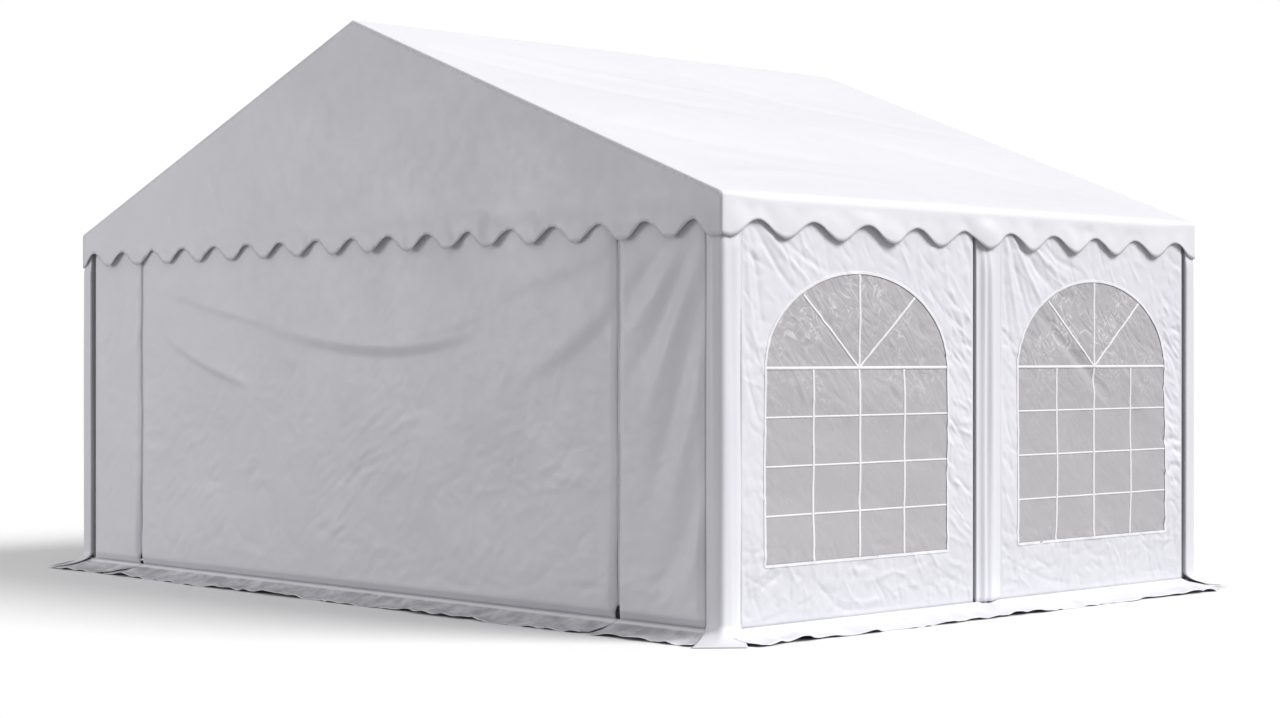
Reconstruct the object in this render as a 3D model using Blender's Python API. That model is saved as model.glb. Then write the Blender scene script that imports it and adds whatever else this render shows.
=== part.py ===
"""Marquee tent with a gabled roof, two bays long, in metres.

The gable with the door faces -Y and the windowed long sides face +X and -X. The origin is on the ground
under the middle of the tent. Every piece of the front and of the right-hand side is modelled once, and the
pieces of the back and of the left-hand side are the same ones turned half round.
"""

import math

import bmesh
import bpy
from mathutils import Vector

# Overall size, over the cover
WIDTH = 5.80
LENGTH = 4.00
EAVE_HEIGHT = 2.145
RIDGE_HEIGHT = 3.250

# Sheets
CLOTH = 0.003
CLEARANCE = 0.0005
WALL_SETBACK = 0.016
WALL_FOOT = 0.0655
WALL_HEAD = 2.140

# Scalloped valance
ARCH_DROP = 0.109
SCALLOP_DEPTH = 0.092
GABLE_ARCHES = 17
SIDE_ARCHES = 10
POINTS_PER_ARCH = 8

# Door and narrow panels of a gable wall, measured inwards from the corner
ZIP_INSET_LEFT = 0.690
ZIP_INSET_RIGHT = 0.740
ZIP_SLIT = 0.004
LEFT_PANEL_INSET = 0.156

# Strips over the posts: the two legs of each corner cover, and the cover of the middle post
WIDE_COVER_SIDE = 0.148
WIDE_COVER_GABLE = 0.123
SLIM_COVER_SIDE = 0.093
SLIM_COVER_GABLE = 0.107
POST_COVER_FRONT = -0.053
POST_COVER_BACK = 0.157
SIDE_GAP = 0.028

# Arched windows
WINDOW_WIDTH = 1.394
WINDOW_SILL = 0.352
WINDOW_SPRING = 1.311
WINDOW_TOP = 1.789
WINDOW_CENTRES = {"front": -0.990, "back": 1.010}
ARCH_SEGMENTS = 24
FILM = 0.0015
CUTTER_PAST = 0.006

# Ground skirt, with its corners cut straight
SKIRT_REACH = 0.216
SKIRT_CORNER_REACH = 0.120
SKIRT_CORNER_START = 0.028

# Steel frame
TUBE_RADIUS = 0.019
SLEEVE_RADIUS = 0.0235
SLEEVE_LENGTH = 0.13
TUBE_SIDES = 16
SHARP_ANGLE = math.radians(40)
PURLIN_AT = 0.5
BORE_RADIUS = TUBE_RADIUS + CLEARANCE
PLATE_SIZE = 0.13
PLATE_THICKNESS = 0.005
PLATE_BEVEL = 0.012
PEG_HOLE_RADIUS = 0.007
PEG_HOLE_OFFSET = 0.038

# Places that follow
HALF_WIDTH = WIDTH / 2
HALF_LENGTH = LENGTH / 2
SLOPE = math.atan2(RIDGE_HEIGHT - EAVE_HEIGHT, HALF_WIDTH)
WALL_X = HALF_WIDTH - WALL_SETBACK
WALL_Y = HALF_LENGTH - WALL_SETBACK
POST_X = WALL_X - CLOTH - CLEARANCE - SLEEVE_RADIUS
PORTAL_Y = WALL_Y - CLOTH - CLEARANCE - SLEEVE_RADIUS
PORTALS = (("front", -PORTAL_Y), ("middle", 0.0), ("back", PORTAL_Y))
HALVES = (("right", 0.0), ("left", math.pi))
OTHER = {"front": "back", "back": "front", "left": "right", "right": "left"}


def roof_underside(x):
    """Height of the lower face of the roof cover at a distance x from the ridge."""
    rise = (HALF_WIDTH - abs(x)) * math.tan(SLOPE)
    return EAVE_HEIGHT + rise - CLOTH / math.cos(SLOPE)


EAVE_TUBE_Z = roof_underside(POST_X) - (SLEEVE_RADIUS + CLEARANCE) / math.cos(SLOPE)
RIDGE_TUBE_Z = EAVE_TUBE_Z + POST_X * math.tan(SLOPE)


def clear_scene():
    for old in list(bpy.data.objects):
        bpy.data.objects.remove(old, do_unlink=True)


def make_material(name, colour, roughness, metallic=0.0, alpha=1.0):
    material = bpy.data.materials.new(name)
    material.use_nodes = True
    shader = material.node_tree.nodes["Principled BSDF"]
    shader.inputs["Base Color"].default_value = (*colour, 1.0)
    shader.inputs["Roughness"].default_value = roughness
    shader.inputs["Metallic"].default_value = metallic
    shader.inputs["Alpha"].default_value = alpha
    return material


def add_object(name, shape, material, turn=0.0):
    """Puts a finished bmesh into the scene as an object, turned about the vertical through the origin."""
    mesh = bpy.data.meshes.new(name)
    shape.to_mesh(mesh)
    shape.free()
    made = bpy.data.objects.new(name, mesh)
    made.rotation_euler.z = turn
    made.data.materials.append(material)
    bpy.context.scene.collection.objects.link(made)
    return made


def as_helper(made):
    """Hides an object that only cuts or joins another."""
    made.hide_render = True
    made.display_type = "WIRE"
    return made


def combine(made, helper, operation):
    change = made.modifiers.new(helper.name, "BOOLEAN")
    change.operation = operation
    change.object = as_helper(helper)


def thicken(shape, faces, step):
    """Carries an open sheet of faces along the vector step and closes it into a solid."""
    carried = bmesh.ops.extrude_face_region(shape, geom=faces)
    moved = [item for item in carried["geom"] if isinstance(item, bmesh.types.BMVert)]
    bmesh.ops.translate(shape, verts=moved, vec=step)
    bmesh.ops.recalc_face_normals(shape, faces=shape.faces)


def slab(name, corners, step, material, turn=0.0):
    """A flat outline carried along the vector step."""
    shape = bmesh.new()
    face = shape.faces.new([shape.verts.new(corner) for corner in corners])
    thicken(shape, [face], step)
    return add_object(name, shape, material, turn)


def tube(name, start, end, radius, material):
    """A solid round bar from start to end."""
    start, end = Vector(start), Vector(end)
    along = end - start
    shape = bmesh.new()
    bmesh.ops.create_cone(
        shape,
        cap_ends=True,
        segments=TUBE_SIDES,
        radius1=radius,
        radius2=radius,
        depth=along.length,
    )
    spin = Vector((0.0, 0.0, 1.0)).rotation_difference(along).to_matrix()
    bmesh.ops.rotate(shape, verts=shape.verts, cent=(0.0, 0.0, 0.0), matrix=spin)
    bmesh.ops.translate(shape, verts=shape.verts, vec=(start + end) / 2)
    made = add_object(name, shape, material)
    made.data.shade_smooth()
    made.data.set_sharp_from_angle(angle=SHARP_ANGLE)
    return made


def side_panel(name, outline, thickness, inset, material, turn):
    """A sheet in the right-hand wall's plane; the outline holds (y, z) pairs, and inset is from the cover."""
    corners = [(HALF_WIDTH - inset, y, z) for y, z in outline]
    return slab(name, corners, (-thickness, 0.0, 0.0), material, turn)


def front_panel(name, outline, thickness, inset, material, turn):
    """A sheet in the plane of the front wall; the outline holds (x, z) pairs, and inset is from the cover."""
    corners = [(x, inset - HALF_LENGTH, z) for x, z in outline]
    return slab(name, corners, (0.0, thickness, 0.0), material, turn)


def rectangle(low, high, bottom, top):
    return [(low, bottom), (high, bottom), (high, top), (low, top)]


def scalloped_edge(low, high, arches):
    """The wavy lower edge from low to high: half a lobe at each end and an arch in each pitch's middle."""
    points = []
    count = arches * POINTS_PER_ARCH
    for step in range(count + 1):
        phase = 2 * math.pi * step / POINTS_PER_ARCH
        drop = ARCH_DROP + SCALLOP_DEPTH * (1 + math.cos(phase)) / 2
        points.append((low + (high - low) * step / count, EAVE_HEIGHT - drop))
    return points


def arched_outline(centre, margin):
    """The window's outline, larger by margin all round: upright sides and a flattened round head."""
    half = WINDOW_WIDTH / 2 + margin
    rise = WINDOW_TOP - WINDOW_SPRING + margin
    points = [(centre - half, WINDOW_SILL - margin), (centre + half, WINDOW_SILL - margin)]
    for step in range(ARCH_SEGMENTS + 1):
        angle = math.pi * step / ARCH_SEGMENTS
        points.append((centre + half * math.cos(angle), WINDOW_SPRING + rise * math.sin(angle)))
    return points


def add_posts(steel):
    """Upright tubes, each welded to a foot plate with two peg holes."""
    top = EAVE_TUBE_Z - SLEEVE_LENGTH - CLEARANCE
    for place, y in PORTALS:
        for side, x in (("left", -POST_X), ("right", POST_X)):
            name = f"post_{place}_{side}"
            post = tube(name, (x, y, PLATE_THICKNESS / 2), (x, y, top), TUBE_RADIUS, steel)
            inwards = PLATE_SIZE / 2 - SLEEVE_RADIUS
            plate_x = x - math.copysign(inwards, x)
            plate_y = y - (math.copysign(inwards, y) if y else 0.0)
            combine(post, foot_plate(f"plate_{name}", plate_x, plate_y, steel), "UNION")
            for reach in (-PEG_HOLE_OFFSET, PEG_HOLE_OFFSET):
                low = (plate_x, plate_y + reach, -PLATE_THICKNESS)
                high = (plate_x, plate_y + reach, 2 * PLATE_THICKNESS)
                combine(post, tube(f"peg_hole_{name}", low, high, PEG_HOLE_RADIUS, steel), "DIFFERENCE")


def foot_plate(name, x, y, steel):
    """A square plate on the ground with its corners cut, centred at (x, y)."""
    half = PLATE_SIZE / 2
    near = half - PLATE_BEVEL
    outline = [(-near, -half), (near, -half), (half, -near), (half, near)]
    outline += [(near, half), (-near, half), (-half, near), (-half, -near)]
    corners = [(x + u, y + v, 0.0) for u, v in outline]
    return slab(name, corners, (0.0, 0.0, PLATE_THICKNESS), steel)


def slope_point(side, distance):
    """A point on a rafter's axis, at a distance up the slope from the eave tube, as (x, z)."""
    x = POST_X - distance * math.cos(SLOPE)
    return side * x, EAVE_TUBE_Z + distance * math.sin(SLOPE)


def add_rafters(steel):
    """Sloping tubes between the eave and ridge fittings, each with a cross sleeve for the slope purlin."""
    whole = POST_X / math.cos(SLOPE)
    for place, y in PORTALS:
        for name_side, side in (("left", -1.0), ("right", 1.0)):
            name = f"rafter_{place}_{name_side}"
            low = slope_point(side, SLEEVE_LENGTH + CLEARANCE)
            high = slope_point(side, whole - SLEEVE_LENGTH - CLEARANCE)
            middle = slope_point(side, whole * PURLIN_AT)
            rafter = tube(name, (low[0], y, low[1]), (high[0], y, high[1]), TUBE_RADIUS, steel)
            ends = sleeve_ends(y)
            sleeve = tube(
                f"sleeve_{name}",
                (middle[0], ends[0], middle[1]),
                (middle[0], ends[1], middle[1]),
                SLEEVE_RADIUS,
                steel,
            )
            combine(rafter, sleeve, "UNION")
            bore = tube(
                f"bore_{name}",
                (middle[0], ends[0] - CLOTH, middle[1]),
                (middle[0], ends[1] + CLOTH, middle[1]),
                BORE_RADIUS,
                steel,
            )
            combine(rafter, bore, "DIFFERENCE")


def sleeve_ends(y):
    """Where the sleeves of a portal at y begin and end along the tent, inside both gable walls."""
    low = max(y - SLEEVE_LENGTH / 2, -PORTAL_Y - SLEEVE_RADIUS)
    high = min(y + SLEEVE_LENGTH / 2, PORTAL_Y + SLEEVE_RADIUS)
    return low, high


def long_tube(name, x, z, steel):
    """A tube that runs the length of the tent."""
    reach = PORTAL_Y + TUBE_RADIUS
    return tube(name, (x, -reach, z), (x, reach, z), TUBE_RADIUS, steel)


def add_purlins(steel):
    """Ridge, eave and slope tubes; the ridge and eave tubes carry fittings for the rafters and posts."""
    whole = POST_X / math.cos(SLOPE)
    ridge = long_tube("ridge_purlin", 0.0, RIDGE_TUBE_Z, steel)
    for place, y in PORTALS:
        for side in (-1.0, 1.0):
            x, z = slope_point(side, whole - SLEEVE_LENGTH)
            stub = tube(f"ridge_stub_{place}_{side}", (0.0, y, RIDGE_TUBE_Z), (x, y, z), SLEEVE_RADIUS, steel)
            combine(ridge, stub, "UNION")
    for name_side, side in (("left", -1.0), ("right", 1.0)):
        eave = long_tube(f"eave_purlin_{name_side}", side * POST_X, EAVE_TUBE_Z, steel)
        for place, y in PORTALS:
            corner = (side * POST_X, y, EAVE_TUBE_Z)
            x, z = slope_point(side, SLEEVE_LENGTH)
            rising = tube(f"eave_stub_{place}_{name_side}", corner, (x, y, z), SLEEVE_RADIUS, steel)
            foot = (side * POST_X, y, EAVE_TUBE_Z - SLEEVE_LENGTH)
            falling = tube(f"post_stub_{place}_{name_side}", corner, foot, SLEEVE_RADIUS, steel)
            combine(eave, rising, "UNION")
            combine(eave, falling, "UNION")
        x, z = slope_point(side, whole * PURLIN_AT)
        long_tube(f"slope_purlin_{name_side}", x, z, steel)


def add_roof(cloth):
    """Two flat slopes that meet at the ridge, and a scalloped valance under each eave."""
    lower = CLOTH / math.cos(SLOPE)
    for name_side, turn in HALVES:
        section = [
            (HALF_WIDTH, EAVE_HEIGHT),
            (CLEARANCE / 2, RIDGE_HEIGHT),
            (CLEARANCE / 2, RIDGE_HEIGHT - lower),
            (HALF_WIDTH, EAVE_HEIGHT - lower),
        ]
        corners = [(x, -HALF_LENGTH, z) for x, z in section]
        slab(f"roof_slope_{name_side}", corners, (0.0, LENGTH, 0.0), cloth, turn)
        edge = scalloped_edge(-HALF_LENGTH, HALF_LENGTH, SIDE_ARCHES)
        top = EAVE_HEIGHT - lower - CLEARANCE
        outline = edge + [(HALF_LENGTH, top), (-HALF_LENGTH, top)]
        side_panel(f"valance_{name_side}", outline, CLOTH, 0.0, cloth, turn)


def add_gables(cloth):
    """The gable triangle and the scalloped valance below it, in one sheet."""
    reach = HALF_WIDTH - CLOTH - CLEARANCE
    for place, turn in (("front", 0.0), ("back", math.pi)):
        outline = scalloped_edge(-reach, reach, GABLE_ARCHES)
        for x in (reach, 0.0, -reach):
            outline.append((x, roof_underside(x) - CLEARANCE))
        front_panel(f"gable_{place}", outline, CLOTH, 0.0, cloth, turn)


def add_gable_walls(cloth):
    """The wide door panel between its two zips, and a narrow panel on each side of it."""
    left_zip = ZIP_INSET_LEFT - HALF_WIDTH
    right_zip = HALF_WIDTH - ZIP_INSET_RIGHT
    panels = (
        ("wall", "left", LEFT_PANEL_INSET - HALF_WIDTH, left_zip - ZIP_SLIT / 2),
        ("door", "", left_zip + ZIP_SLIT / 2, right_zip - ZIP_SLIT / 2),
        ("wall", "right", right_zip + ZIP_SLIT / 2, HALF_WIDTH - WIDE_COVER_GABLE - CLEARANCE),
    )
    for place, turn in (("front", 0.0), ("back", math.pi)):
        for kind, side, low, high in panels:
            shown = side if place == "front" else OTHER.get(side, "")
            name = f"{place}_{kind}_{shown}".rstrip("_")
            outline = rectangle(low, high, WALL_FOOT, WALL_HEAD)
            front_panel(name, outline, CLOTH, WALL_SETBACK, cloth, turn)


def add_side_walls(cloth, film):
    """One panel a bay, each with an arched window cut through and a film in the hole."""
    bays = (
        ("front", WIDE_COVER_SIDE + CLEARANCE - HALF_LENGTH, POST_COVER_FRONT - SIDE_GAP),
        ("back", POST_COVER_BACK + CLEARANCE, HALF_LENGTH - SLIM_COVER_SIDE - SIDE_GAP),
    )
    for name_side, turn in HALVES:
        for place, low, high in bays:
            shown = place if name_side == "right" else OTHER[place]
            outline = rectangle(low, high, WALL_FOOT, WALL_HEAD)
            name = f"side_wall_{name_side}_{shown}"
            wall = side_panel(name, outline, CLOTH, WALL_SETBACK, cloth, turn)
            opening = arched_outline(WINDOW_CENTRES[place], 0.0)
            deep = CLOTH + 2 * CUTTER_PAST
            cutter = side_panel(f"cut_{name}", opening, deep, WALL_SETBACK - CUTTER_PAST, cloth, turn)
            combine(wall, cutter, "DIFFERENCE")
            pane = arched_outline(WINDOW_CENTRES[place], -CLEARANCE)
            side_panel(f"window_{name_side}_{shown}", pane, FILM, WALL_SETBACK, film, turn)


def add_post_covers(cloth):
    """Strips that wrap the posts: an angle at each corner and a flat one over each middle post."""
    for name_side, turn in HALVES:
        outline = rectangle(POST_COVER_FRONT, POST_COVER_BACK, WALL_FOOT, WALL_HEAD)
        side_panel(f"post_cover_{name_side}", outline, CLOTH, WALL_SETBACK, cloth, turn)
    corners = (
        ("front", "right", 1.0, -1.0, WIDE_COVER_GABLE, WIDE_COVER_SIDE),
        ("back", "left", -1.0, 1.0, WIDE_COVER_GABLE, WIDE_COVER_SIDE),
        ("front", "left", -1.0, -1.0, SLIM_COVER_GABLE, SLIM_COVER_SIDE),
        ("back", "right", 1.0, 1.0, SLIM_COVER_GABLE, SLIM_COVER_SIDE),
    )
    for place, side, x_sign, y_sign, gable_leg, side_leg in corners:
        x, y = x_sign * WALL_X, y_sign * WALL_Y
        gable_end = x_sign * (HALF_WIDTH - gable_leg)
        side_end = y_sign * (HALF_LENGTH - side_leg)
        inner_x, inner_y = x - x_sign * CLOTH, y - y_sign * CLOTH
        section = [(gable_end, y), (x, y), (x, side_end), (inner_x, side_end), (inner_x, inner_y)]
        section.append((gable_end, inner_y))
        base = [(u, v, WALL_FOOT) for u, v in section]
        slab(f"corner_cover_{place}_{side}", base, (0.0, 0.0, WALL_HEAD - WALL_FOOT), cloth)


def add_skirt(name, half_run, place, cloth, turn):
    """A sloping ground flap with cut corners; place(along, outwards, z) gives a point in the tent's frame."""
    top, edge = WALL_FOOT - CLEARANCE, CLOTH
    end = half_run - CLEARANCE
    shape = bmesh.new()

    def corner(along, outwards, z):
        return shape.verts.new(place(along, outwards, z))

    inner = [corner(sign * end, 0.0, top) for sign in (-1, 1)]
    outer = [corner(sign * (half_run + SKIRT_CORNER_START), SKIRT_REACH, edge) for sign in (-1, 1)]
    tips = [corner(sign * (end + SKIRT_CORNER_REACH), SKIRT_CORNER_REACH, edge) for sign in (-1, 1)]
    faces = [
        shape.faces.new([inner[0], inner[1], outer[1], outer[0]]),
        shape.faces.new([inner[0], outer[0], tips[0]]),
        shape.faces.new([inner[1], tips[1], outer[1]]),
    ]
    thicken(shape, faces, (0.0, 0.0, -CLOTH))
    return add_object(name, shape, cloth, turn)


def add_skirts(cloth):
    """Four ground flaps round the foot of the walls, flared out to rest on the ground."""

    def on_side(along, outwards, z):
        return WALL_X + outwards, along, z

    def on_front(along, outwards, z):
        return along, -WALL_Y - outwards, z

    for name_side, turn in HALVES:
        add_skirt(f"skirt_{name_side}", WALL_Y, on_side, cloth, turn)
    for place, turn in (("front", 0.0), ("back", math.pi)):
        add_skirt(f"skirt_{place}", WALL_X, on_front, cloth, turn)


def main():
    clear_scene()
    steel = make_material("galvanised_steel", (0.62, 0.63, 0.64), 0.42, metallic=1.0)
    roof = make_material("roof_cover", (0.90, 0.90, 0.91), 0.45)
    wall = make_material("wall_cover", (0.84, 0.84, 0.87), 0.50)
    film = make_material("window_film", (0.60, 0.61, 0.66), 0.15, alpha=0.5)
    add_posts(steel)
    add_rafters(steel)
    add_purlins(steel)
    add_roof(roof)
    add_gables(roof)
    add_gable_walls(wall)
    add_side_walls(wall, film)
    add_post_covers(wall)
    add_skirts(wall)


main()
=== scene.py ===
"""Looks of a marquee tent of white coated sheet on a steel tube frame.

The cover, the wall panels, the windows and the ground flaps are sheets of cloth with the folds that packing and
hanging leave in them. The front gable and the right-hand side are described, and the back gable and the left-hand
side are the same pieces turned half round about the vertical, with creases of their own.
"""

import math

import bmesh
import bpy
import numpy as np
from mathutils import Matrix, Vector, noise
from mathutils.geometry import delaunay_2d_cdt


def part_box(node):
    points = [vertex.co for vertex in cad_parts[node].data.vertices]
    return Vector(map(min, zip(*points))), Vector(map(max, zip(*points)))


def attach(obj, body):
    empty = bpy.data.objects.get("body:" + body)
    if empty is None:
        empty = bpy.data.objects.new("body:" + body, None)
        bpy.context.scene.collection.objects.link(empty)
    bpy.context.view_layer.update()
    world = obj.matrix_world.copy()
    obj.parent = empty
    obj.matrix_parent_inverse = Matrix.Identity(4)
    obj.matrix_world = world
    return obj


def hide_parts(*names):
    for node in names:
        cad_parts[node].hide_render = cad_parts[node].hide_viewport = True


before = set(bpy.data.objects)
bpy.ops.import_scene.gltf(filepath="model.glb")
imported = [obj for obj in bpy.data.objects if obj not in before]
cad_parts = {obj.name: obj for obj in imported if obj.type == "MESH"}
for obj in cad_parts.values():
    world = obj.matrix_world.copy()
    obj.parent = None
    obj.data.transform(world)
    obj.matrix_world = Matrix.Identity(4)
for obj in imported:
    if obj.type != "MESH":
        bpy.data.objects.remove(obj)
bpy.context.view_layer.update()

bl_info = {
    "name": "Marquee tent",
    "version": (1, 0, 0),
    "blender": (4, 5, 0),
    "location": "3D View > Sidebar > Marquee",
    "description": "Dresses a steel frame as a white marquee tent with arched windows",
    "category": "Object",
}

# Places and sizes of the tent, from its frame
ROOF_LOW, ROOF_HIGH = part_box("roof_slope_right")
DOOR_LOW, DOOR_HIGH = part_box("front_door")
WALL_LOW, WALL_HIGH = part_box("side_wall_right_front")
CAD_SHEET = DOOR_HIGH.y - DOOR_LOW.y
HALF_WIDTH = ROOF_HIGH.x
HALF_LENGTH = ROOF_HIGH.y
PROUD = 0.010
RIDGE_Z = ROOF_HIGH.z + PROUD
EAVE_Z = ROOF_LOW.z + CAD_SHEET + PROUD
SLOPE = math.atan2(RIDGE_Z - EAVE_Z, HALF_WIDTH)
WALL_X = WALL_HIGH.x
WALL_Y = -DOOR_LOW.y
FOOT_Z = DOOR_LOW.z
HEAD_Z = DOOR_HIGH.z
SKIRT_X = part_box("skirt_right")[1].x
SKIRT_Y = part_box("skirt_back")[1].y

# Scalloped valance
ARCH_DROP = 0.125
SCALLOP_DEPTH = 0.089
SIDE_PITCH = 2 * HALF_LENGTH / 10
GABLE_PITCH = 2 * HALF_WIDTH / 17

# Folds of the roof cover over its tubes, and its lap round the gables
RIDGE_ROUND = 0.022
EAVE_ROUND = 0.045
LAP_ROUND = 0.010
LAP = 0.008

# Arched window, centred on its bay
WINDOW_HALF = 0.697
WINDOW_SILL = 0.352
WINDOW_SPRING = 1.311
WINDOW_RISE = 0.478
WINDOW_CENTRES = {"front": -0.990, "back": 1.010}

PLACES = {"front": 0.0, "back": math.pi}
SIDES = {"right": 0.0, "left": math.pi}
OTHER = {"front": "back", "back": "front", "left": "right", "right": "left"}


class MarqueeSettings(bpy.types.PropertyGroup):
    """Sizes and colours of the tent that a user would change."""

    sheet: bpy.props.FloatProperty(
        name="Sheet", description="Thickness of the coated sheet", default=0.0012, unit="LENGTH"
    )
    flare: bpy.props.FloatProperty(
        name="Valance flare", description="How far the lobes stand out", default=0.018, unit="LENGTH"
    )
    sag: bpy.props.FloatProperty(
        name="Roof sag", description="Sag of the roof between its tubes", default=0.020, unit="LENGTH"
    )
    crease: bpy.props.FloatProperty(
        name="Crease depth", description="Strength of the creases in the walls", default=1.0, min=0.0, max=2.0
    )
    roof_colour: bpy.props.FloatVectorProperty(
        name="Roof", description="Colour of the roof cover", subtype="COLOR", default=(0.815, 0.812, 0.85)
    )
    wall_colour: bpy.props.FloatVectorProperty(
        name="Walls", description="Colour of the wall panels", subtype="COLOR", default=(0.79, 0.787, 0.836)
    )
    # The film's grey is painted shade: it stands in for the dim inside of the tent seen through clear film.
    film_colour: bpy.props.FloatVectorProperty(
        name="Film", description="Tint of the window film", subtype="COLOR", default=(0.570, 0.550, 0.570)
    )
    skirt_colour: bpy.props.FloatVectorProperty(
        name="Skirts", description="Colour of the ground skirts", subtype="COLOR", default=(0.80, 0.795, 0.84)
    )
    steel_colour: bpy.props.FloatVectorProperty(
        name="Steel", description="Colour of the galvanised tube", subtype="COLOR", default=(0.56, 0.58, 0.60)
    )
    floor_colour: bpy.props.FloatVectorProperty(
        name="Floor", description="Colour of the studio floor", subtype="COLOR", default=(0.93, 0.93, 0.93)
    )


def settings():
    return bpy.context.scene.marquee


# Shapes of cloth


def nearest_on_path(u, v, path):
    """Distance from each point to a path, and how far along the path it is, from 0 to 1."""
    path = np.asarray(path, float)
    runs = np.hypot(*(path[1:] - path[:-1]).T)
    starts = np.concatenate([[0.0], np.cumsum(runs)])
    distance = np.full(u.shape, np.inf)
    along = np.zeros(u.shape)
    for (u0, v0), (u1, v1), run, start in zip(path[:-1], path[1:], runs, starts):
        part = np.clip(((u - u0) * (u1 - u0) + (v - v0) * (v1 - v0)) / run**2, 0.0, 1.0)
        here = np.hypot(u - u0 - part * (u1 - u0), v - v0 - part * (v1 - v0))
        closer = here < distance
        distance = np.where(closer, here, distance)
        along = np.where(closer, (start + part * run) / starts[-1], along)
    return distance, along


def fold(u, v, path, height, width, roundness=2.0):
    """A fold along a path, up or down by height. A roundness near 1 makes it a sharp crease."""
    distance, along = nearest_on_path(u, v, path)
    fade = np.sin(math.pi * np.clip(along, 0.02, 0.98)) ** 0.7
    return height * fade * np.exp(-((distance / width) ** roundness))


def swag(u, v, start, pull, end, height, width, tail):
    """A sagging pull: the sheet steps out above a curve through three points and eases back higher up."""
    part = np.linspace(0.0, 1.0, 25)
    line_u, line_v = ((1 - part) ** 2 * a + 2 * part * (1 - part) * b + part**2 * c for a, b, c in zip(start, pull, end))
    above = v - np.interp(u, line_u, line_v)
    along = np.clip((u - start[0]) / (end[0] - start[0]), 0.0, 1.0)
    fade = np.clip(np.sin(math.pi * along**1.4), 0.0, 1.0) ** 0.9
    return height * fade * ease(above, -width / 2, width / 2) * np.exp(-np.clip(above, 0.0, None) / tail)


def crinkles(u, v, rng, region, count, heading, spread, length, height, width):
    """Short creases, up and down, strewn over a region and running roughly one way."""
    low_u, low_v, high_u, high_v = region
    lift = np.zeros(u.shape)
    for _ in range(count):
        centre = rng.uniform(low_u, high_u), rng.uniform(low_v, high_v)
        angle = math.radians(rng.normal(heading, spread))
        half = rng.uniform(*length) / 2
        size = rng.uniform(0.35, 1.0) * height * rng.choice([-1.0, 1.0])
        wide = width * rng.uniform(0.7, 1.4)
        bend = rng.normal(0.0, 0.12) * half
        across = -math.sin(angle), math.cos(angle)
        path = []
        for part in (-1.0, 0.0, 1.0):
            off = bend * (1 - abs(part))
            path.append((
                centre[0] + part * half * math.cos(angle) + off * across[0],
                centre[1] + part * half * math.sin(angle) + off * across[1],
            ))
        reach = half + 3 * wide
        near = (np.abs(u - centre[0]) < reach) & (np.abs(v - centre[1]) < reach)
        if near.any():
            lift[near] += fold(u[near], v[near], path, size, wide, 1.5)
    return lift


def billow(u, v, rng, count, size, height):
    """Broad gentle waves in all directions."""
    lift = np.zeros(u.shape)
    for _ in range(count):
        angle = rng.uniform(0.0, math.pi)
        wave = size * rng.uniform(0.7, 1.6)
        phase = rng.uniform(0.0, 2 * math.pi)
        lift += np.sin((u * math.cos(angle) + v * math.sin(angle)) * 2 * math.pi / wave + phase)
    return lift * height / math.sqrt(count)


def facets(u, v, seed, size, height):
    """A crumple of flat facets that meet in straight creases."""
    lift = np.zeros(u.shape)
    for index, (a, b) in enumerate(zip(u.flat, v.flat)):
        spots = noise.voronoi((a / size, b / size, seed))[0]
        lift.flat[index] = spots[1] - spots[0]
    return height * (lift - 0.4)


def ease(value, low, high):
    """0 below low, 1 above high, and smooth between."""
    part = np.clip((value - low) / (high - low), 0.0, 1.0)
    return part * part * (3.0 - 2.0 * part)


def held(value, low, high, margin):
    """1 in the middle of a span, and 0 at both its ends."""
    return ease(value, low, low + margin) * ease(-value, -high, margin - high)


def inside(u, v, outline):
    """Which points lie inside a closed outline."""
    result = np.zeros(u.shape, bool)
    for (u0, v0), (u1, v1) in zip(outline, outline[1:] + outline[:1]):
        if v0 == v1:
            continue
        crosses = (v0 > v) != (v1 > v)
        result ^= crosses & (u < (u1 - u0) * (v - v0) / (v1 - v0) + u0)
    return result


def stepped(outline, step):
    """The closed outline with points no further apart than step."""
    points = []
    for (u0, v0), (u1, v1) in zip(outline, outline[1:] + outline[:1]):
        count = max(1, round(math.hypot(u1 - u0, v1 - v0) / step))
        points += [(u0 + (u1 - u0) * k / count, v0 + (v1 - v0) * k / count) for k in range(count)]
    return points


def cut(outline, step, hole=None):
    """Points (u, v) and triangles that fill an outline at a spacing of step, with a hole left open."""
    edges = [stepped(outline, step)] + ([stepped(hole, step)] if hole else [])
    low, high = np.min(edges[0], axis=0), np.max(edges[0], axis=0)
    lattice = np.meshgrid(
        np.arange(low[0] + step / 2, high[0], step), np.arange(low[1] + step / 2, high[1], step)
    )
    u, v = (part.ravel() for part in lattice)
    kept = inside(u, v, edges[0])
    for edge in edges:
        kept &= nearest_on_path(u, v, edge + edge[:1])[0] > 0.6 * step
    if hole:
        kept &= ~inside(u, v, edges[1])
    points, bounds = [], []
    for edge in edges:
        start = len(points)
        points += edge
        bounds += [(start + k, start + (k + 1) % len(edge)) for k in range(len(edge))]
    points += list(zip(u[kept], v[kept]))
    found = delaunay_2d_cdt([Vector(p) for p in points], bounds, [], 0, 1e-6)
    places = np.array([tuple(p) for p in found[0]])
    faces = np.array([face for face in found[2]])
    middle = places[faces].mean(axis=1)
    whole = inside(middle[:, 0], middle[:, 1], edges[0])
    if hole:
        whole &= ~inside(middle[:, 0], middle[:, 1], edges[1])
    return places[:, 0], places[:, 1], faces[whole]


def lattice(columns, rows):
    """Points (u, v) of a grid with the given columns and rows, and its four-sided faces."""
    u, v = np.meshgrid(columns, rows)
    return u.ravel(), v.ravel(), grid_faces(len(columns), len(rows))


def grid_faces(columns, rows):
    corner = np.arange(columns * rows).reshape(rows, columns)
    sides = (corner[:-1, :-1], corner[:-1, 1:], corner[1:, 1:], corner[1:, :-1])
    return np.stack([side.ravel() for side in sides], axis=1)


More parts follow.
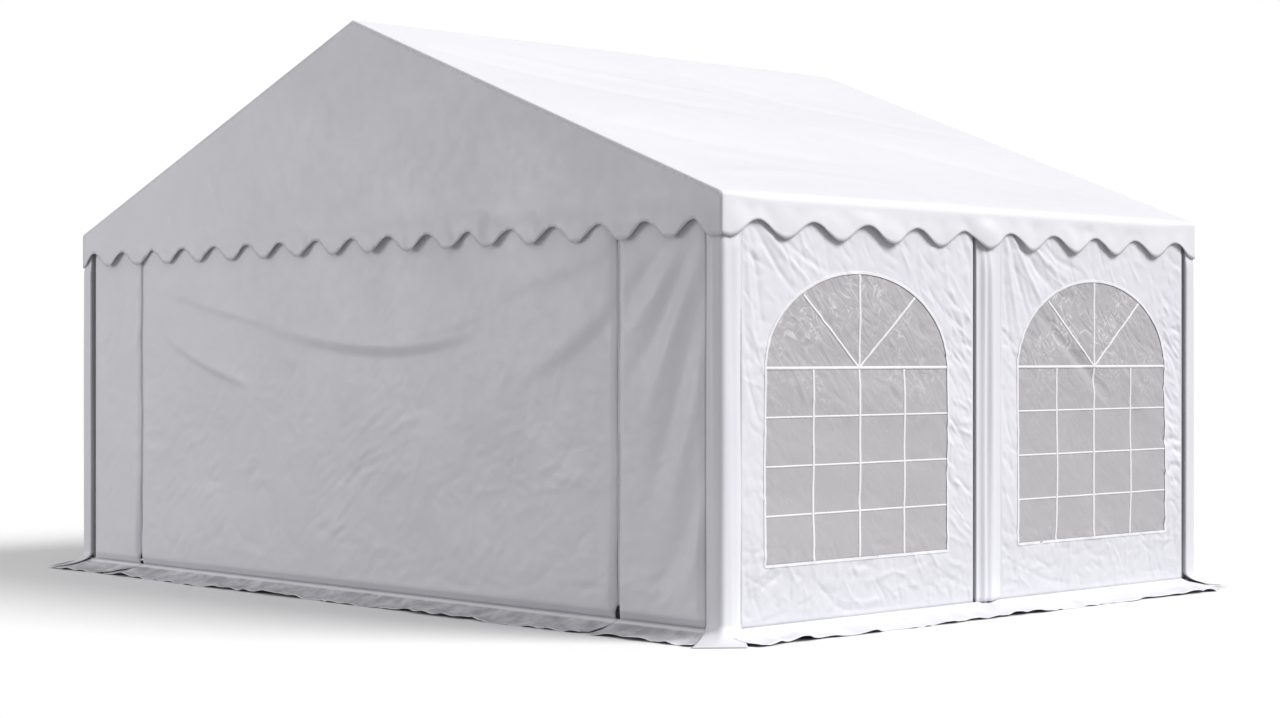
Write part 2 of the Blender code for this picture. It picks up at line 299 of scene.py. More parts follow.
def spaced(low, high, step):
    return np.linspace(low, high, max(2, round((high - low) / step) + 1))


def turned(points, turn):
    """Points turned about the vertical by nothing or by half a turn."""
    return points if turn == 0.0 else points * np.array([-1.0, -1.0, 1.0])


def on_front(u, v, lift):
    """Points on the front wall: u across the gable, v up, lift out of the wall."""
    return np.stack([u, -WALL_Y - lift, v], axis=-1)


def on_side(u, v, lift):
    """Points on the right-hand wall: u along the tent, v up, lift out of the wall."""
    return np.stack([WALL_X + lift, u, v], axis=-1)


def apply_modifiers(piece):
    bpy.ops.object.select_all(action="DESELECT")
    bpy.context.view_layer.objects.active = piece
    piece.select_set(True)
    for change in list(piece.modifiers):
        bpy.ops.object.modifier_apply(modifier=change.name)


def add_mesh(name, points, faces, uv, material, facing):
    """A mesh whose faces look the way of facing, with its flat cut as its UV map, in metres."""
    corners = points[faces]
    normals = np.cross(corners[:, 1] - corners[:, 0], corners[:, 2] - corners[:, 0])
    outwards = facing(corners.mean(axis=1)) if callable(facing) else np.asarray(facing, float)
    if (normals * outwards).sum() < 0:
        faces = faces[:, ::-1]
    mesh = bpy.data.meshes.new(name)
    mesh.from_pydata(points.tolist(), [], faces.tolist())
    layer = mesh.uv_layers.new(name="Cut")
    layer.data.foreach_set("uv", uv[faces.ravel()].astype(np.float32).ravel())
    mesh.materials.append(material)
    mesh.shade_smooth()
    made = bpy.data.objects.new(name, mesh)
    bpy.context.scene.collection.objects.link(made)
    return made


def add_sheet(name, points, faces, uv, material, facing, nodes, thickness=None):
    """A sheet of cloth in place of CAD nodes, thickened towards its inner side."""
    made = add_mesh(name, points, faces, uv, material, facing)
    solid = made.modifiers.new("Thickness", "SOLIDIFY")
    solid.thickness = thickness or settings().sheet
    solid.offset = -1.0
    apply_modifiers(made)
    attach(made, "root")
    if nodes:
        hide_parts(*nodes)
    return made


# Finishes


class Value:
    """A node's output that Python's operators work on: an expression adds Math nodes."""

    def __init__(self, finish, socket):
        self.finish = finish
        self.socket = socket

    def __add__(self, other):
        return self.finish.maths("ADD", self, other)

    def __sub__(self, other):
        return self.finish.maths("SUBTRACT", self, other)

    def __rsub__(self, other):
        return self.finish.maths("SUBTRACT", other, self)

    def __mul__(self, other):
        return self.finish.maths("MULTIPLY", self, other)

    def __truediv__(self, other):
        return self.finish.maths("DIVIDE", self, other)

    def __pow__(self, other):
        return self.finish.maths("POWER", self, other)

    __radd__ = __add__
    __rmul__ = __mul__


class Finish:
    """A material of nodes round one Principled shader."""

    def __init__(self, name, colour, roughness, metallic=0.0, **constants):
        self.material = bpy.data.materials.new(name)
        self.material.use_nodes = True
        self.tree = self.material.node_tree
        self.shader = self.tree.nodes["Principled BSDF"]
        self.shader.inputs["Base Color"].default_value = (*colour, 1.0)
        self.shader.inputs["Roughness"].default_value = roughness
        self.shader.inputs["Metallic"].default_value = metallic
        for socket, value in constants.items():
            self.shader.inputs[socket.replace("_", " ")].default_value = value

    def node(self, kind, chosen=None, fed=None, out=0):
        """Adds a node, makes its choices, feeds its sockets and returns the named output."""
        made = self.tree.nodes.new(kind)
        for name, value in (chosen or {}).items():
            if name == "stops":
                ramp = made.color_ramp
                for place, colour in value[2:]:
                    ramp.elements.new(place).color = (*colour, 1.0)
                for element, (place, colour) in zip((ramp.elements[0], ramp.elements[-1]), value[:2]):
                    element.position = place
                    element.color = (*colour, 1.0)
            else:
                setattr(made, name, value)
        for socket, value in (fed or {}).items():
            self.feed(made.inputs[socket], value)
        return Value(self, made.outputs[out])

    def feed(self, socket, value):
        if isinstance(value, Value):
            self.tree.links.new(value.socket, socket)
        elif hasattr(socket.default_value, "__len__") and len(value) < len(socket.default_value):
            socket.default_value = (*value, 1.0)
        else:
            socket.default_value = value

    def maths(self, operation, a, b=0.0):
        return self.node("ShaderNodeMath", {"operation": operation}, {0: a, 1: b})

    def clamped(self, value, low, high, to_low=0.0, to_high=1.0):
        """Carries a value from one range to another and stops at its ends."""
        fed = {0: value, 1: low, 2: high, 3: to_low, 4: to_high}
        return self.node("ShaderNodeMapRange", {}, fed)

    def thread(self, value):
        """1 on the wavering lines where a noise is at its middle, and 0 beside them."""
        return self.clamped(self.maths("ABSOLUTE", value - 0.5), 0.050, 0.0)

    def mix(self, factor, first, second):
        return self.node("ShaderNodeMix", {"data_type": "RGBA"}, {0: factor, 6: first, 7: second}, 2)

    def cloth_place(self):
        """The place on the flat cut, in metres."""
        return self.node("ShaderNodeUVMap", {"uv_map": "Cut"})

    def object_place(self):
        return self.node("ShaderNodeTexCoord", {}, {}, "Object")

    def noise(self, place, scale, detail=2.0, roughness=0.5, distortion=0.0):
        fed = {"Vector": place, "Scale": scale, "Detail": detail, "Roughness": roughness}
        fed["Distortion"] = distortion
        return self.node("ShaderNodeTexNoise", {}, fed)

    def cells(self, place, scale, feature="F1", out=0):
        return self.node("ShaderNodeTexVoronoi", {"feature": feature}, {"Vector": place, "Scale": scale}, out)

    def bump(self, height, distance, strength=1.0, under=None):
        fed = {"Height": height, "Distance": distance, "Strength": strength}
        if under:
            fed["Normal"] = under
        return self.node("ShaderNodeBump", {}, fed)

    def surface(self, **fed):
        for socket, value in fed.items():
            self.feed(self.shader.inputs[socket.replace("_", " ")], value)


def coated_sheet(name, colour, roughness, crumple):
    """White coated sheet: a faint woven scrim, soft dents, light mottling and a low gloss."""
    finish = Finish(name, colour, roughness, Specular_IOR_Level=0.35)
    place = finish.cloth_place()
    mottle = finish.noise(place, 1.7, 3.0)
    wear = finish.noise(place, 11.0, 4.0, 0.6)
    dusty = tuple(part * 0.965 for part in colour)
    worn = tuple(part * 0.94 for part in colour)
    shade = finish.mix(finish.clamped(mottle, 0.35, 0.70), colour, dusty)
    finish.tint = finish.mix(finish.clamped(wear, 0.50, 0.75) * 0.35, shade, worn)
    across = finish.node("ShaderNodeTexWave", {"bands_direction": "X"}, {"Vector": place, "Scale": 130.0})
    down = finish.node("ShaderNodeTexWave", {"bands_direction": "Y"}, {"Vector": place, "Scale": 130.0})
    weave = finish.bump(across + down, 0.00005, 0.5)
    dents = finish.noise(place, 6.0, 2.0, 0.45) + finish.noise(place, 19.0, 2.0, 0.5) * 0.22
    finish.surface(
        Base_Color=finish.tint,
        Roughness=finish.clamped(wear + mottle, 0.7, 1.3, roughness - 0.06, roughness + 0.10),
        Normal=finish.bump(dents, crumple, 0.5, weave),
    )
    return finish


def wall_sheet(name, colour, hem_shade, lower_shade):
    """Coated sheet of a wall, with painted shade along its hem and painted shade that grows towards the bottom."""
    finish = coated_sheet(name, colour, 0.44, 0.010)
    height = finish.node("ShaderNodeSeparateXYZ", {}, {"Vector": finish.cloth_place()}, "Y")
    painted_shade = tuple(part * 0.70 for part in colour)
    # Painted shade: the colour darkens towards the bottom of the wall, and darkens more in a band along its hem.
    shaded_lower_down = finish.mix(finish.clamped(height, 0.80, 0.10) * lower_shade, finish.tint, painted_shade)
    finish.surface(Base_Color=finish.mix(finish.clamped(height, FOOT_Z + 0.050, FOOT_Z + 0.032) * hem_shade, shaded_lower_down, painted_shade))
    return finish


def skirt_with_painted_light(name, colour, weld_highlight, soil_and_shade):
    """Ground flap: a painted highlight along its weld and at its cut edge, and blotches of soil with painted shade
    between.
    """
    finish = coated_sheet(name, colour, 0.50, 0.012)
    place = finish.cloth_place()
    drop = finish.node("ShaderNodeSeparateXYZ", {}, {"Vector": place}, "Y") * -1.0
    blotches = finish.noise(place, 9.0, 4.0, 0.6)
    # Painted shade together with soil: the darker colour that the blotches mix towards, strong on the gable skirts.
    shaded_soil = tuple(part * (1.0 - soil_and_shade) for part in colour)
    blotched_shade = finish.mix(finish.clamped(blotches, 0.30, 0.62), finish.tint, shaded_soil)
    # Painted highlight: lighter bands along the weld and along the cut edge.
    highlight_bands = finish.clamped(drop, 0.030, 0.018) + finish.clamped(drop, 0.186, 0.194)
    finish.surface(Base_Color=finish.mix(highlight_bands, blotched_shade, weld_highlight))
    return finish


def window_film(name, colour):
    """Soft clear film, its grey a painted shade of the dim inside behind it: hazy, glossy, with bright streaks
    painted where it is creased as painted highlights.
    """
    finish = Finish(name, colour, 0.24, Specular_IOR_Level=0.5)
    place = finish.cloth_place()
    smears = finish.noise(place, 5.0, 4.0, 0.6)
    slanted = finish.node(
        "ShaderNodeMapping",
        {"vector_type": "TEXTURE"},
        {"Vector": place, "Rotation": (0.0, 0.0, math.radians(-42.0)), "Scale": (0.17, 0.065, 1.0)},
    )
    leaning = finish.node(
        "ShaderNodeMapping",
        {"vector_type": "TEXTURE"},
        {"Vector": place, "Rotation": (0.0, 0.0, math.radians(44.0)), "Scale": (0.15, 0.070, 1.0)},
    )
    streaks = finish.noise(slanted, 1.0, 1.0, 0.5, 1.4)
    kinks = finish.noise(leaning, 1.0, 1.0, 0.5, 1.8)
    spots = finish.noise(place, 11.0, 1.0)
    height = finish.node("ShaderNodeSeparateXYZ", {}, {"Vector": place}, "Y")
    upper = finish.clamped(height, 1.00, 1.45)
    spread = finish.clamped(finish.noise(place, 3.1, 2.0), 0.42, 0.58) * upper
    glint_lines = finish.thread(streaks) * finish.clamped(spots, 0.46, 0.56)
    glint_lines += finish.thread(kinks) * finish.clamped(spots, 0.50, 0.42)
    # Painted highlights: bright glints painted into the film's colour along wavering lines, mostly in the arch.
    painted_glints = glint_lines * spread
    glint_colour = tuple(min(1.0, part * 1.60) for part in colour)
    finish.surface(
        Base_Color=finish.mix(painted_glints * 0.85, colour, glint_colour),
        Roughness=finish.clamped(smears, 0.3, 0.7, 0.18, 0.34),
        Alpha=finish.clamped(smears, 0.2, 0.8, 0.84, 0.87),
        Normal=finish.bump((streaks + kinks * 0.3 + spots * 0.4) * (upper * 0.8 + 0.2), 0.012, 0.6),
    )
    return finish


def galvanised_steel(name, colour):
    """Zinc coat with its spangle of crystals, dull grey and slightly streaked."""
    finish = Finish(name, colour, 0.45, 1.0)
    place = finish.object_place()
    crystals = finish.cells(place, 120.0, "F1", "Color")
    tone = finish.node("ShaderNodeSeparateColor", {}, {"Color": crystals}, "Red")
    bloom = finish.noise(place, 9.0, 4.0)
    dark = tuple(part * 0.72 for part in colour)
    shade = finish.mix(tone * 0.55 + finish.clamped(bloom, 0.4, 0.7) * 0.3, colour, dark)
    finish.surface(
        Base_Color=shade,
        Roughness=finish.clamped(tone + bloom, 0.4, 1.4, 0.34, 0.58),
        Normal=finish.bump(tone, 0.0003, 0.3),
    )
    return finish


def zip_tape(name, colour):
    """Woven zip tape with a fine rib across it."""
    finish = Finish(name, colour, 0.62)
    place = finish.cloth_place()
    ribs = finish.node("ShaderNodeTexWave", {"bands_direction": "Y"}, {"Vector": place, "Scale": 60.0})
    speckle = finish.noise(place, 90.0, 2.0)
    finish.surface(
        Base_Color=finish.mix(finish.clamped(speckle, 0.3, 0.7), colour, tuple(part * 0.85 for part in colour)),
        Normal=finish.bump(ribs + speckle, 0.0005, 0.7),
    )
    return finish


# Colour of the painted highlight along the weld and the cut edge of a skirt.
WELD_HIGHLIGHT_COLOUR = (0.88, 0.876, 0.92)


def finish_named(name):
    """The material of that name, made the first time it is asked for."""
    found = bpy.data.materials.get(f"finish_{name}")
    if found:
        return found
    chosen = settings()
    wall, roof = tuple(chosen.wall_colour), tuple(chosen.roof_colour)
    makers = {
        "roof_cover": lambda label: coated_sheet(label, roof, 0.42, 0.006),
        "gable_cover": lambda label: coated_sheet(label, wall, 0.42, 0.006),
        "wall_cover": lambda label: wall_sheet(label, wall, 0.50, 0.0),
        "side_cover": lambda label: wall_sheet(label, wall, 0.05, 0.38),
        "post_cover": lambda label: coated_sheet(label, wall, 0.36, 0.0015),
        "ground_skirt": lambda label: skirt_with_painted_light(label, tuple(chosen.skirt_colour), WELD_HIGHLIGHT_COLOUR, 0.04),
        # The gable skirts carry strong painted shade in their blotches.
        "trodden_skirt": lambda label: skirt_with_painted_light(label, tuple(chosen.skirt_colour), WELD_HIGHLIGHT_COLOUR, 0.42),
        "window_film": lambda label: window_film(label, tuple(chosen.film_colour)),
        "window_bars": lambda label: coated_sheet(label, (0.88, 0.88, 0.90), 0.40, 0.0006),
        "galvanised_steel": lambda label: galvanised_steel(label, tuple(chosen.steel_colour)),
        "zip_tape": lambda label: zip_tape(label, (0.80, 0.797, 0.845)),
    }
    return makers[name](f"finish_{name}").material


# Pieces


def valance_drop(along, pitch, start):
    """How far below the eave the scalloped edge hangs: half a lobe at each end, arches between."""
    return ARCH_DROP + SCALLOP_DEPTH * (1 + np.cos(2 * math.pi * (along - start) / pitch)) / 2


def valance_swing(along, depth, rng, pitch, start, flare):
    """How far the valance stands out: the lobes swing forwards, each by its own amount."""
    lobes = (1 + np.cos(2 * math.pi * (along - start) / pitch)) / 2
    sway = billow(along, 0.0 * along, rng, 4, 0.9, 0.25)
    hang = ease(depth, 0.0, 0.13)
    end = abs(start)
    flutes = crinkles(along, depth, rng, (-end, 0.02, end, 0.20), 90, 84.0, 20.0, (0.12, 0.30), 0.006 + 0.17 * flare, 0.040)
    flutes = flutes * ease(depth, 0.0, 0.06)
    return flare * hang * (0.85 + 0.15 * lobes + 0.30 * sway) + flutes


def lobe_slip(y):
    """How far the lobes of a side valance have slipped along it from an even spacing."""
    return 0.044 - 0.060 * ease(y, -0.9, HALF_LENGTH)


def eave_radius(y):
    """Radius of the bend over the eave tube: tight at the gables and fuller between them."""
    return 0.028 + 0.030 * held(y, -HALF_LENGTH, HALF_LENGTH, 0.40)


def roof_bend(radius):
    """Lengths along the sheet from the ridge to where the bend over the eave begins and ends."""
    bend = math.pi / 2 - SLOPE
    straight = HALF_WIDTH / math.cos(SLOPE) - RIDGE_ROUND * math.tan(SLOPE) - radius * math.tan(bend / 2)
    start = RIDGE_ROUND * SLOPE + straight
    return start, start + radius * bend


def roof_section(path, radius):
    """Place across the tent, height and outward normal at a distance along the roof from its ridge."""
    side = np.sign(path)
    away = np.abs(path)
    ridge_arc = RIDGE_ROUND * SLOPE
    start, end = roof_bend(radius)
    turned_by = np.clip(away / RIDGE_ROUND, 0.0, SLOPE)
    run = np.clip(away - ridge_arc, 0.0, start - ridge_arc)
    tipped = np.clip((away - start) / radius, 0.0, math.pi / 2 - SLOPE)
    hang = np.clip(away - end, 0.0, None)
    x = RIDGE_ROUND * np.sin(turned_by) + run * math.cos(SLOPE)
    z = RIDGE_Z - RIDGE_ROUND / math.cos(SLOPE) + RIDGE_ROUND * np.cos(turned_by) - run * math.sin(SLOPE)
    angle = turned_by + tipped
    x = x + radius * (np.sin(angle) - np.sin(turned_by))
    z = z + radius * (np.cos(angle) - np.cos(turned_by)) - hang
    return side * x, z, side * np.sin(angle), np.cos(angle)


def roof_relief(away, y, rng):
    """Sag of the roof between its tubes, with the long pulls across each bay."""
    slope = HALF_WIDTH / math.cos(SLOPE)
    part = np.clip(away / slope, 0.0, 1.0)
    between_purlins = np.sin(2 * math.pi * part) ** 2
    bay = np.abs(np.sin(math.pi * y / (HALF_LENGTH - 0.04)))
    lift = -settings().sag * between_purlins * (0.35 + 0.65 * np.clip(bay, 0.0, 1.0))
    lift += -0.006 * np.sin(math.pi * part) * np.clip(bay, 0.0, 1.0)
    pulls = (
        (((0.45, -1.90), (1.05, -0.95), (1.45, 0.10)), -0.010, 0.085),
        (((0.30, -1.60), (0.75, -0.40), (1.20, 0.60)), 0.006, 0.070),
        (((1.75, -1.90), (2.15, -0.90), (2.35, -0.10)), -0.007, 0.080),
        (((1.60, 0.10), (2.05, 0.90), (2.70, 1.70)), -0.008, 0.090),
        (((0.40, 0.15), (0.95, 0.80), (1.50, 1.80)), -0.008, 0.080),
        (((2.75, -1.85), (2.55, -0.90), (2.80, -0.10)), 0.005, 0.060),
    )
    for path, height, width in pulls:
        lift += fold(away, y, path, height, width)
    lift += crinkles(away, y, rng, (0.1, -2.0, slope, 2.0), 60, 65.0, 35.0, (0.3, 0.9), 0.0026, 0.05)
    return lift * held(away, 0.01, slope - 0.03, 0.06) * held(y, -HALF_LENGTH, HALF_LENGTH, 0.25)


class MARQUEE_OT_roof(bpy.types.Operator):
    """One sheet over the ridge and both eaves, lapped round the gables, with a scalloped valance at each side"""

    bl_idname = "marquee.roof"
    bl_label = "Roof cover"

    def execute(self, context):
        ridge_arc = RIDGE_ROUND * SLOPE
        start = roof_bend(EAVE_ROUND)[0]
        slope = np.concatenate([np.linspace(0.0, ridge_arc, 3)[1:], spaced(ridge_arc, start, 0.035)[1:]]) / start
        bend = 1.0 + np.linspace(0.0, 1.0, 7)[1:]
        hang = 2.0 + np.linspace(0.0, 1.0, 9)[1:]
        half = np.concatenate([slope, bend, hang])
        columns = np.concatenate([-half[::-1], [0.0], half])
        end = HALF_LENGTH - LAP_ROUND
        lap = np.array([LAP_ROUND * math.pi / 2 * part for part in (0.34, 0.67, 1.0)])
        lap = np.concatenate([lap, [lap[-1] + LAP / 2, lap[-1] + LAP]])
        rows = np.concatenate([-end - lap[::-1], spaced(-end, end, 0.028), end + lap])
        place, run, faces = lattice(columns, rows)
        y = np.clip(run, -end, end)
        beyond = np.abs(run) - end
        angle = np.clip(beyond / LAP_ROUND, 0.0, math.pi / 2)
        depth = LAP_ROUND * (1 - np.cos(angle)) + np.clip(beyond - LAP_ROUND * math.pi / 2, 0.0, None)
        depth = np.where(beyond > 0, depth, 0.0)
        y = y + np.sign(run) * LAP_ROUND * np.sin(np.where(beyond > 0, angle, 0.0))
        radius = eave_radius(y)
        bend_start, bend_end = roof_bend(radius)
        own_y = np.sign(place) * y
        drop = valance_drop(own_y - lobe_slip(own_y), SIDE_PITCH, -HALF_LENGTH)
        drop = drop - radius * math.tan((math.pi / 2 - SLOPE) / 2)
        away = np.clip(np.abs(place), 0.0, 1.0) * bend_start
        away += np.clip(np.abs(place) - 1.0, 0.0, 1.0) * (bend_end - bend_start)
        away += np.clip(np.abs(place) - 2.0, 0.0, 1.0) * drop
        path = np.sign(place) * away
        x, z, out_x, out_z = roof_section(path, radius)
        lift = np.zeros(path.shape)
        for mark, seed in ((1.0, 21), (-1.0, 22)):
            mine = np.sign(place) == mark
            rng = np.random.default_rng(seed)
            lift[mine] += roof_relief(away[mine], own_y[mine], rng)
            depths = np.clip(away[mine] - bend_end[mine], 0.0, None)
            slipped = own_y[mine] - lobe_slip(own_y[mine])
            swing = valance_swing(slipped, depths, rng, SIDE_PITCH, -HALF_LENGTH, 0.45 * settings().flare)
            lift[mine] += swing * held(y[mine], -HALF_LENGTH, HALF_LENGTH, 0.16)
        lift = lift - depth
        points = np.stack([x + out_x * lift, y, z + out_z * lift], axis=-1)
        flat_cut = np.stack([path, run], axis=-1)
        made = add_sheet(
            "roof_sheet",
            points,
            faces,
            flat_cut,
            finish_named("roof_cover"),
            lambda middle: middle - np.array([0.0, 0.0, 1.0]),
            ("roof_slope_left", "roof_slope_right", "valance_left", "valance_right"),
        )
        return {"FINISHED"}


def gable_outline(margin):
    """The gable sheet seen from the front: scalloped foot, upright ends and a rake under the roof."""
    reach = HALF_WIDTH - margin
    foot = []
    for x in np.linspace(-reach, reach, 17 * 20 + 1):
        corner_lobe = ARCH_DROP + SCALLOP_DEPTH * ease(x, HALF_WIDTH - 0.178, HALF_WIDTH - 0.070)
        foot.append((x, EAVE_Z - float(max(valance_drop(x, GABLE_PITCH, -HALF_WIDTH), corner_lobe))))
    below = margin / math.cos(SLOPE)
    shoulder = EAVE_Z + margin * math.tan(SLOPE) - below
    return foot + [(reach, shoulder), (0.0, RIDGE_Z - below), (-reach, shoulder)]


class MARQUEE_OT_gables(bpy.types.Operator):
    """Gable triangle and scalloped valance in one sheet, at both ends"""

    bl_idname = "marquee.gables"
    bl_label = "Gables"

    def execute(self, context):
        u, v, faces = cut(gable_outline(LAP_ROUND - 0.002), 0.020)
        for place, turn in PLACES.items():
            rng = np.random.default_rng(31 + (turn > 0))
            out = HALF_LENGTH - WALL_Y + 0.0002
            depth = np.clip(EAVE_Z - v, 0.0, None)
            swing = valance_swing(u, depth, rng, GABLE_PITCH, -HALF_WIDTH, settings().flare)
            lift = out + swing * held(u, -HALF_WIDTH, HALF_WIDTH, 0.16)
            taut = ease(EAVE_Z + (HALF_WIDTH - np.abs(u)) * math.tan(SLOPE) - v, 0.05, 0.25)
            loose = billow(u, v, rng, 6, 0.8, 0.0035)
            loose += crinkles(u, v, rng, (-2.6, 2.0, 2.6, 3.0), 150, 75.0, 35.0, (0.10, 0.40), 0.0024, 0.020)
            loose += crinkles(u, v, rng, (-2.6, 2.0, 2.6, 2.4), 40, 90.0, 20.0, (0.15, 0.40), 0.0035, 0.045)
            lift += loose * taut * held(u, -HALF_WIDTH, HALF_WIDTH, 0.10)
            points = turned(on_front(u, v, lift), turn)
            made = add_sheet(
                f"gable_sheet_{place}",
                points,
                faces,
                np.stack([u, v], axis=-1),
                finish_named("gable_cover"),
                (0.0, math.copysign(1.0, turn - 1.0), 0.0),
                (f"gable_{place}",),
            )
        return {"FINISHED"}


def zip_sway(v, side):
    """How far a zip wanders sideways at a height."""
    phase = 0.8 if side == "left" else 2.1
    return 0.0030 * np.sin(v * 7.3 + phase) + 0.0016 * np.sin(v * 19.0 + 2 * phase)


def tug(away):
    """How strongly a zip puckers the sheet at a distance from its edge."""
    return np.exp(-away / 0.05) * ease(away, 0.0, 0.012)


ZIP_HALF = 0.0045
ZIP_FOOT = 0.070
ZIP_DIP = 0.0065


def front_relief(u, v, rng, kind, place):
    """Folds of a gable wall: the named ones of the front, and creases from packing everywhere."""
    lift = billow(u, v, rng, 7, 1.3, 0.0040)
    if kind == "door":
        swags = (
            ((-1.00, 1.565), (0.35, 1.268), (1.10, 1.50), 0.034, 0.080, 0.15),
            ((-2.09, 1.79), (-1.40, 1.64), (-0.70, 1.52), 0.010, 0.050, 0.10),
            ((-1.98, 1.50), (-1.60, 1.31), (-1.02, 1.18), 0.022, 0.046, 0.11),
            ((0.02, 1.52), (0.62, 1.40), (1.26, 1.62), 0.009, 0.060, 0.10),
            ((1.36, 1.20), (1.80, 1.36), (2.21, 1.66), 0.031, 0.150, 0.17),
            ((1.10, 1.70), (1.60, 1.72), (2.24, 1.93), 0.018, 0.150, 0.14),
        )
        for curve in swags:
            lift += swag(u, v, *curve)
        creased = (
            ((-2.2, 0.10, 2.15, 1.30), 330, 34.0, 38.0, (0.08, 0.32), 0.0028, 0.015),
            ((-2.2, 1.20, 2.15, 2.10), 120, 50.0, 45.0, (0.10, 0.40), 0.0020, 0.020),
            ((-0.40, 0.30, 0.05, 0.75), 26, 30.0, 8.0, (0.14, 0.36), 0.0032, 0.0115),
            ((-0.10, 0.62, 0.42, 1.05), 28, 30.0, 8.0, (0.14, 0.36), 0.0032, 0.0115),
            ((0.15, 0.95, 0.62, 1.25), 20, 32.0, 9.0, (0.12, 0.30), 0.0030, 0.0115),
            ((-2.1, 0.45, -1.30, 1.10), 60, 24.0, 16.0, (0.12, 0.34), 0.0028, 0.0120),
            ((1.20, 0.62, 2.00, 1.05), 60, 6.0, 22.0, (0.10, 0.30), 0.0030, 0.0115),
            ((-0.05, 1.55, 0.42, 1.86), 18, 34.0, 12.0, (0.12, 0.28), 0.0026, 0.0115),
            ((-2.2, 0.10, 2.15, 0.35), 60, 12.0, 25.0, (0.15, 0.60), 0.0030, 0.020),
        )
        for region, count, heading, spread, length, height, width in creased:
            lift += crinkles(u, v, rng, region, count, heading, spread, length, height, width)
    elif kind == "right":
        fans = (
            (((2.51, 1.89), (2.38, 1.80), (2.20, 1.62)), -0.012, 0.050),
            (((2.62, 1.92), (2.42, 1.66), (2.22, 1.46)), 0.012, 0.050),
            (((2.68, 1.88), (2.44, 1.50), (2.24, 1.24)), -0.014, 0.055),
            (((2.74, 1.88), (2.56, 1.50), (2.34, 1.02)), 0.014, 0.050),
            (((2.76, 1.70), (2.60, 1.24), (2.36, 0.57)), -0.014, 0.060),
            (((2.77, 1.42), (2.68, 1.05), (2.52, 0.55)), 0.011, 0.050),
            (((2.76, 0.86), (2.64, 0.50), (2.44, 0.18)), -0.010, 0.060),
            (((2.77, 0.62), (2.72, 0.38), (2.60, 0.14)), 0.009, 0.045),
        )
        for path, height, width in fans:
            lift += fold(u, v, path, height, width)
        lift += crinkles(u, v, rng, (2.2, 0.10, 2.75, 1.10), 46, 15.0, 30.0, (0.08, 0.26), 0.0034, 0.015)
    else:
        lift += crinkles(u, v, rng, (-2.74, 0.10, -2.22, 1.9), 46, 60.0, 30.0, (0.08, 0.34), 0.0032, 0.018)
        lift += crinkles(u, v, rng, (-2.74, 0.10, -2.22, 1.9), 14, 80.0, 10.0, (0.30, 0.90), 0.0055, 0.040)
    return settings().crease * lift


class MARQUEE_OT_gable_walls(bpy.types.Operator):
    """Door panel and the narrow panels beside it, at both gables, with the folds that hang in them"""

    bl_idname = "marquee.gable_walls"
    bl_label = "Gable walls"

    def execute(self, context):
        panels = (
            ("left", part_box("front_wall_left")),
            ("door", (DOOR_LOW, DOOR_HIGH)),
            ("right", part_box("front_wall_right")),
        )
        for place, turn in PLACES.items():
            step = 0.0160 if place == "front" else 0.0230
            for index, (kind, (low, high)) in enumerate(panels):
                self.add_panel(place, turn, kind, low, high, step, index)
        return {"FINISHED"}

    def add_panel(self, place, turn, kind, low, high, step, index):
        rng = np.random.default_rng(41 + 7 * index + (turn > 0))
        part, v, faces = lattice(spaced(0.0, 1.0, step / (high.x - low.x)), spaced(FOOT_Z, HEAD_Z, step))
        left = np.full(v.shape, low.x - 0.016 * (kind == "left"))
        right = np.full(v.shape, high.x)
        notch = 0.010 * (1 - ease(v, FOOT_Z + 0.5 * ZIP_FOOT, FOOT_Z + ZIP_FOOT))
        if kind != "left":
            side = "left" if kind == "door" else "right"
            left = left + zip_sway(v, side) + ZIP_HALF + notch
        if kind != "right":
            side = "right" if kind == "door" else "left"
            right = right + zip_sway(v, side) - ZIP_HALF - notch
        u = left + (right - left) * part
        lift = front_relief(u, v, rng, kind, place)
        zipped = 0.0
        if kind != "left":
            zipped = zipped + tug(u - left) * np.sin(v * 31.0 + 1.5 * np.sin(v * 9.0))
            lift = lift * ease(u - left, 0.0, 0.09) - ZIP_DIP * np.exp(-(((u - left) / 0.018) ** 2))
        else:
            lift = lift * ease(u - left, 0.0, 0.03)
        if kind != "right":
            zipped = zipped + tug(right - u) * np.sin(v * 27.0 + 1.5 * np.sin(v * 8.0))
            lift = lift * ease(right - u, 0.0, 0.09) - ZIP_DIP * np.exp(-(((right - u) / 0.024) ** 2))
        else:
            lift = lift * ease(right - u, 0.0, 0.03)
        lift = lift + 0.0016 * zipped
        lift = lift * ease(v, FOOT_Z, FOOT_Z + 0.09) * ease(-v, -HEAD_Z, 0.05 - HEAD_Z)
        stand = 0.022 * ease(v, FOOT_Z, FOOT_Z + 0.045) - 0.015 * ease(v, 0.15, 0.70) - 0.004 * ease(v, 1.80, 1.95)
        lift = lift + stand * held(u, low.x, high.x, 0.04)
        points = turned(on_front(u, v, lift), turn)
        shown = {"left": "wall_left", "door": "door", "right": "wall_right"}[kind]
        if place == "back" and kind != "door":
            shown = f"wall_{OTHER[kind]}"
        made = add_sheet(
            f"{place}_{shown}_sheet",
            points,
            faces,
            np.stack([u, v], axis=-1),
            finish_named("wall_cover"),
            (0.0, math.copysign(1.0, turn - 1.0), 0.0),
            (f"{place}_{shown}",),
        )


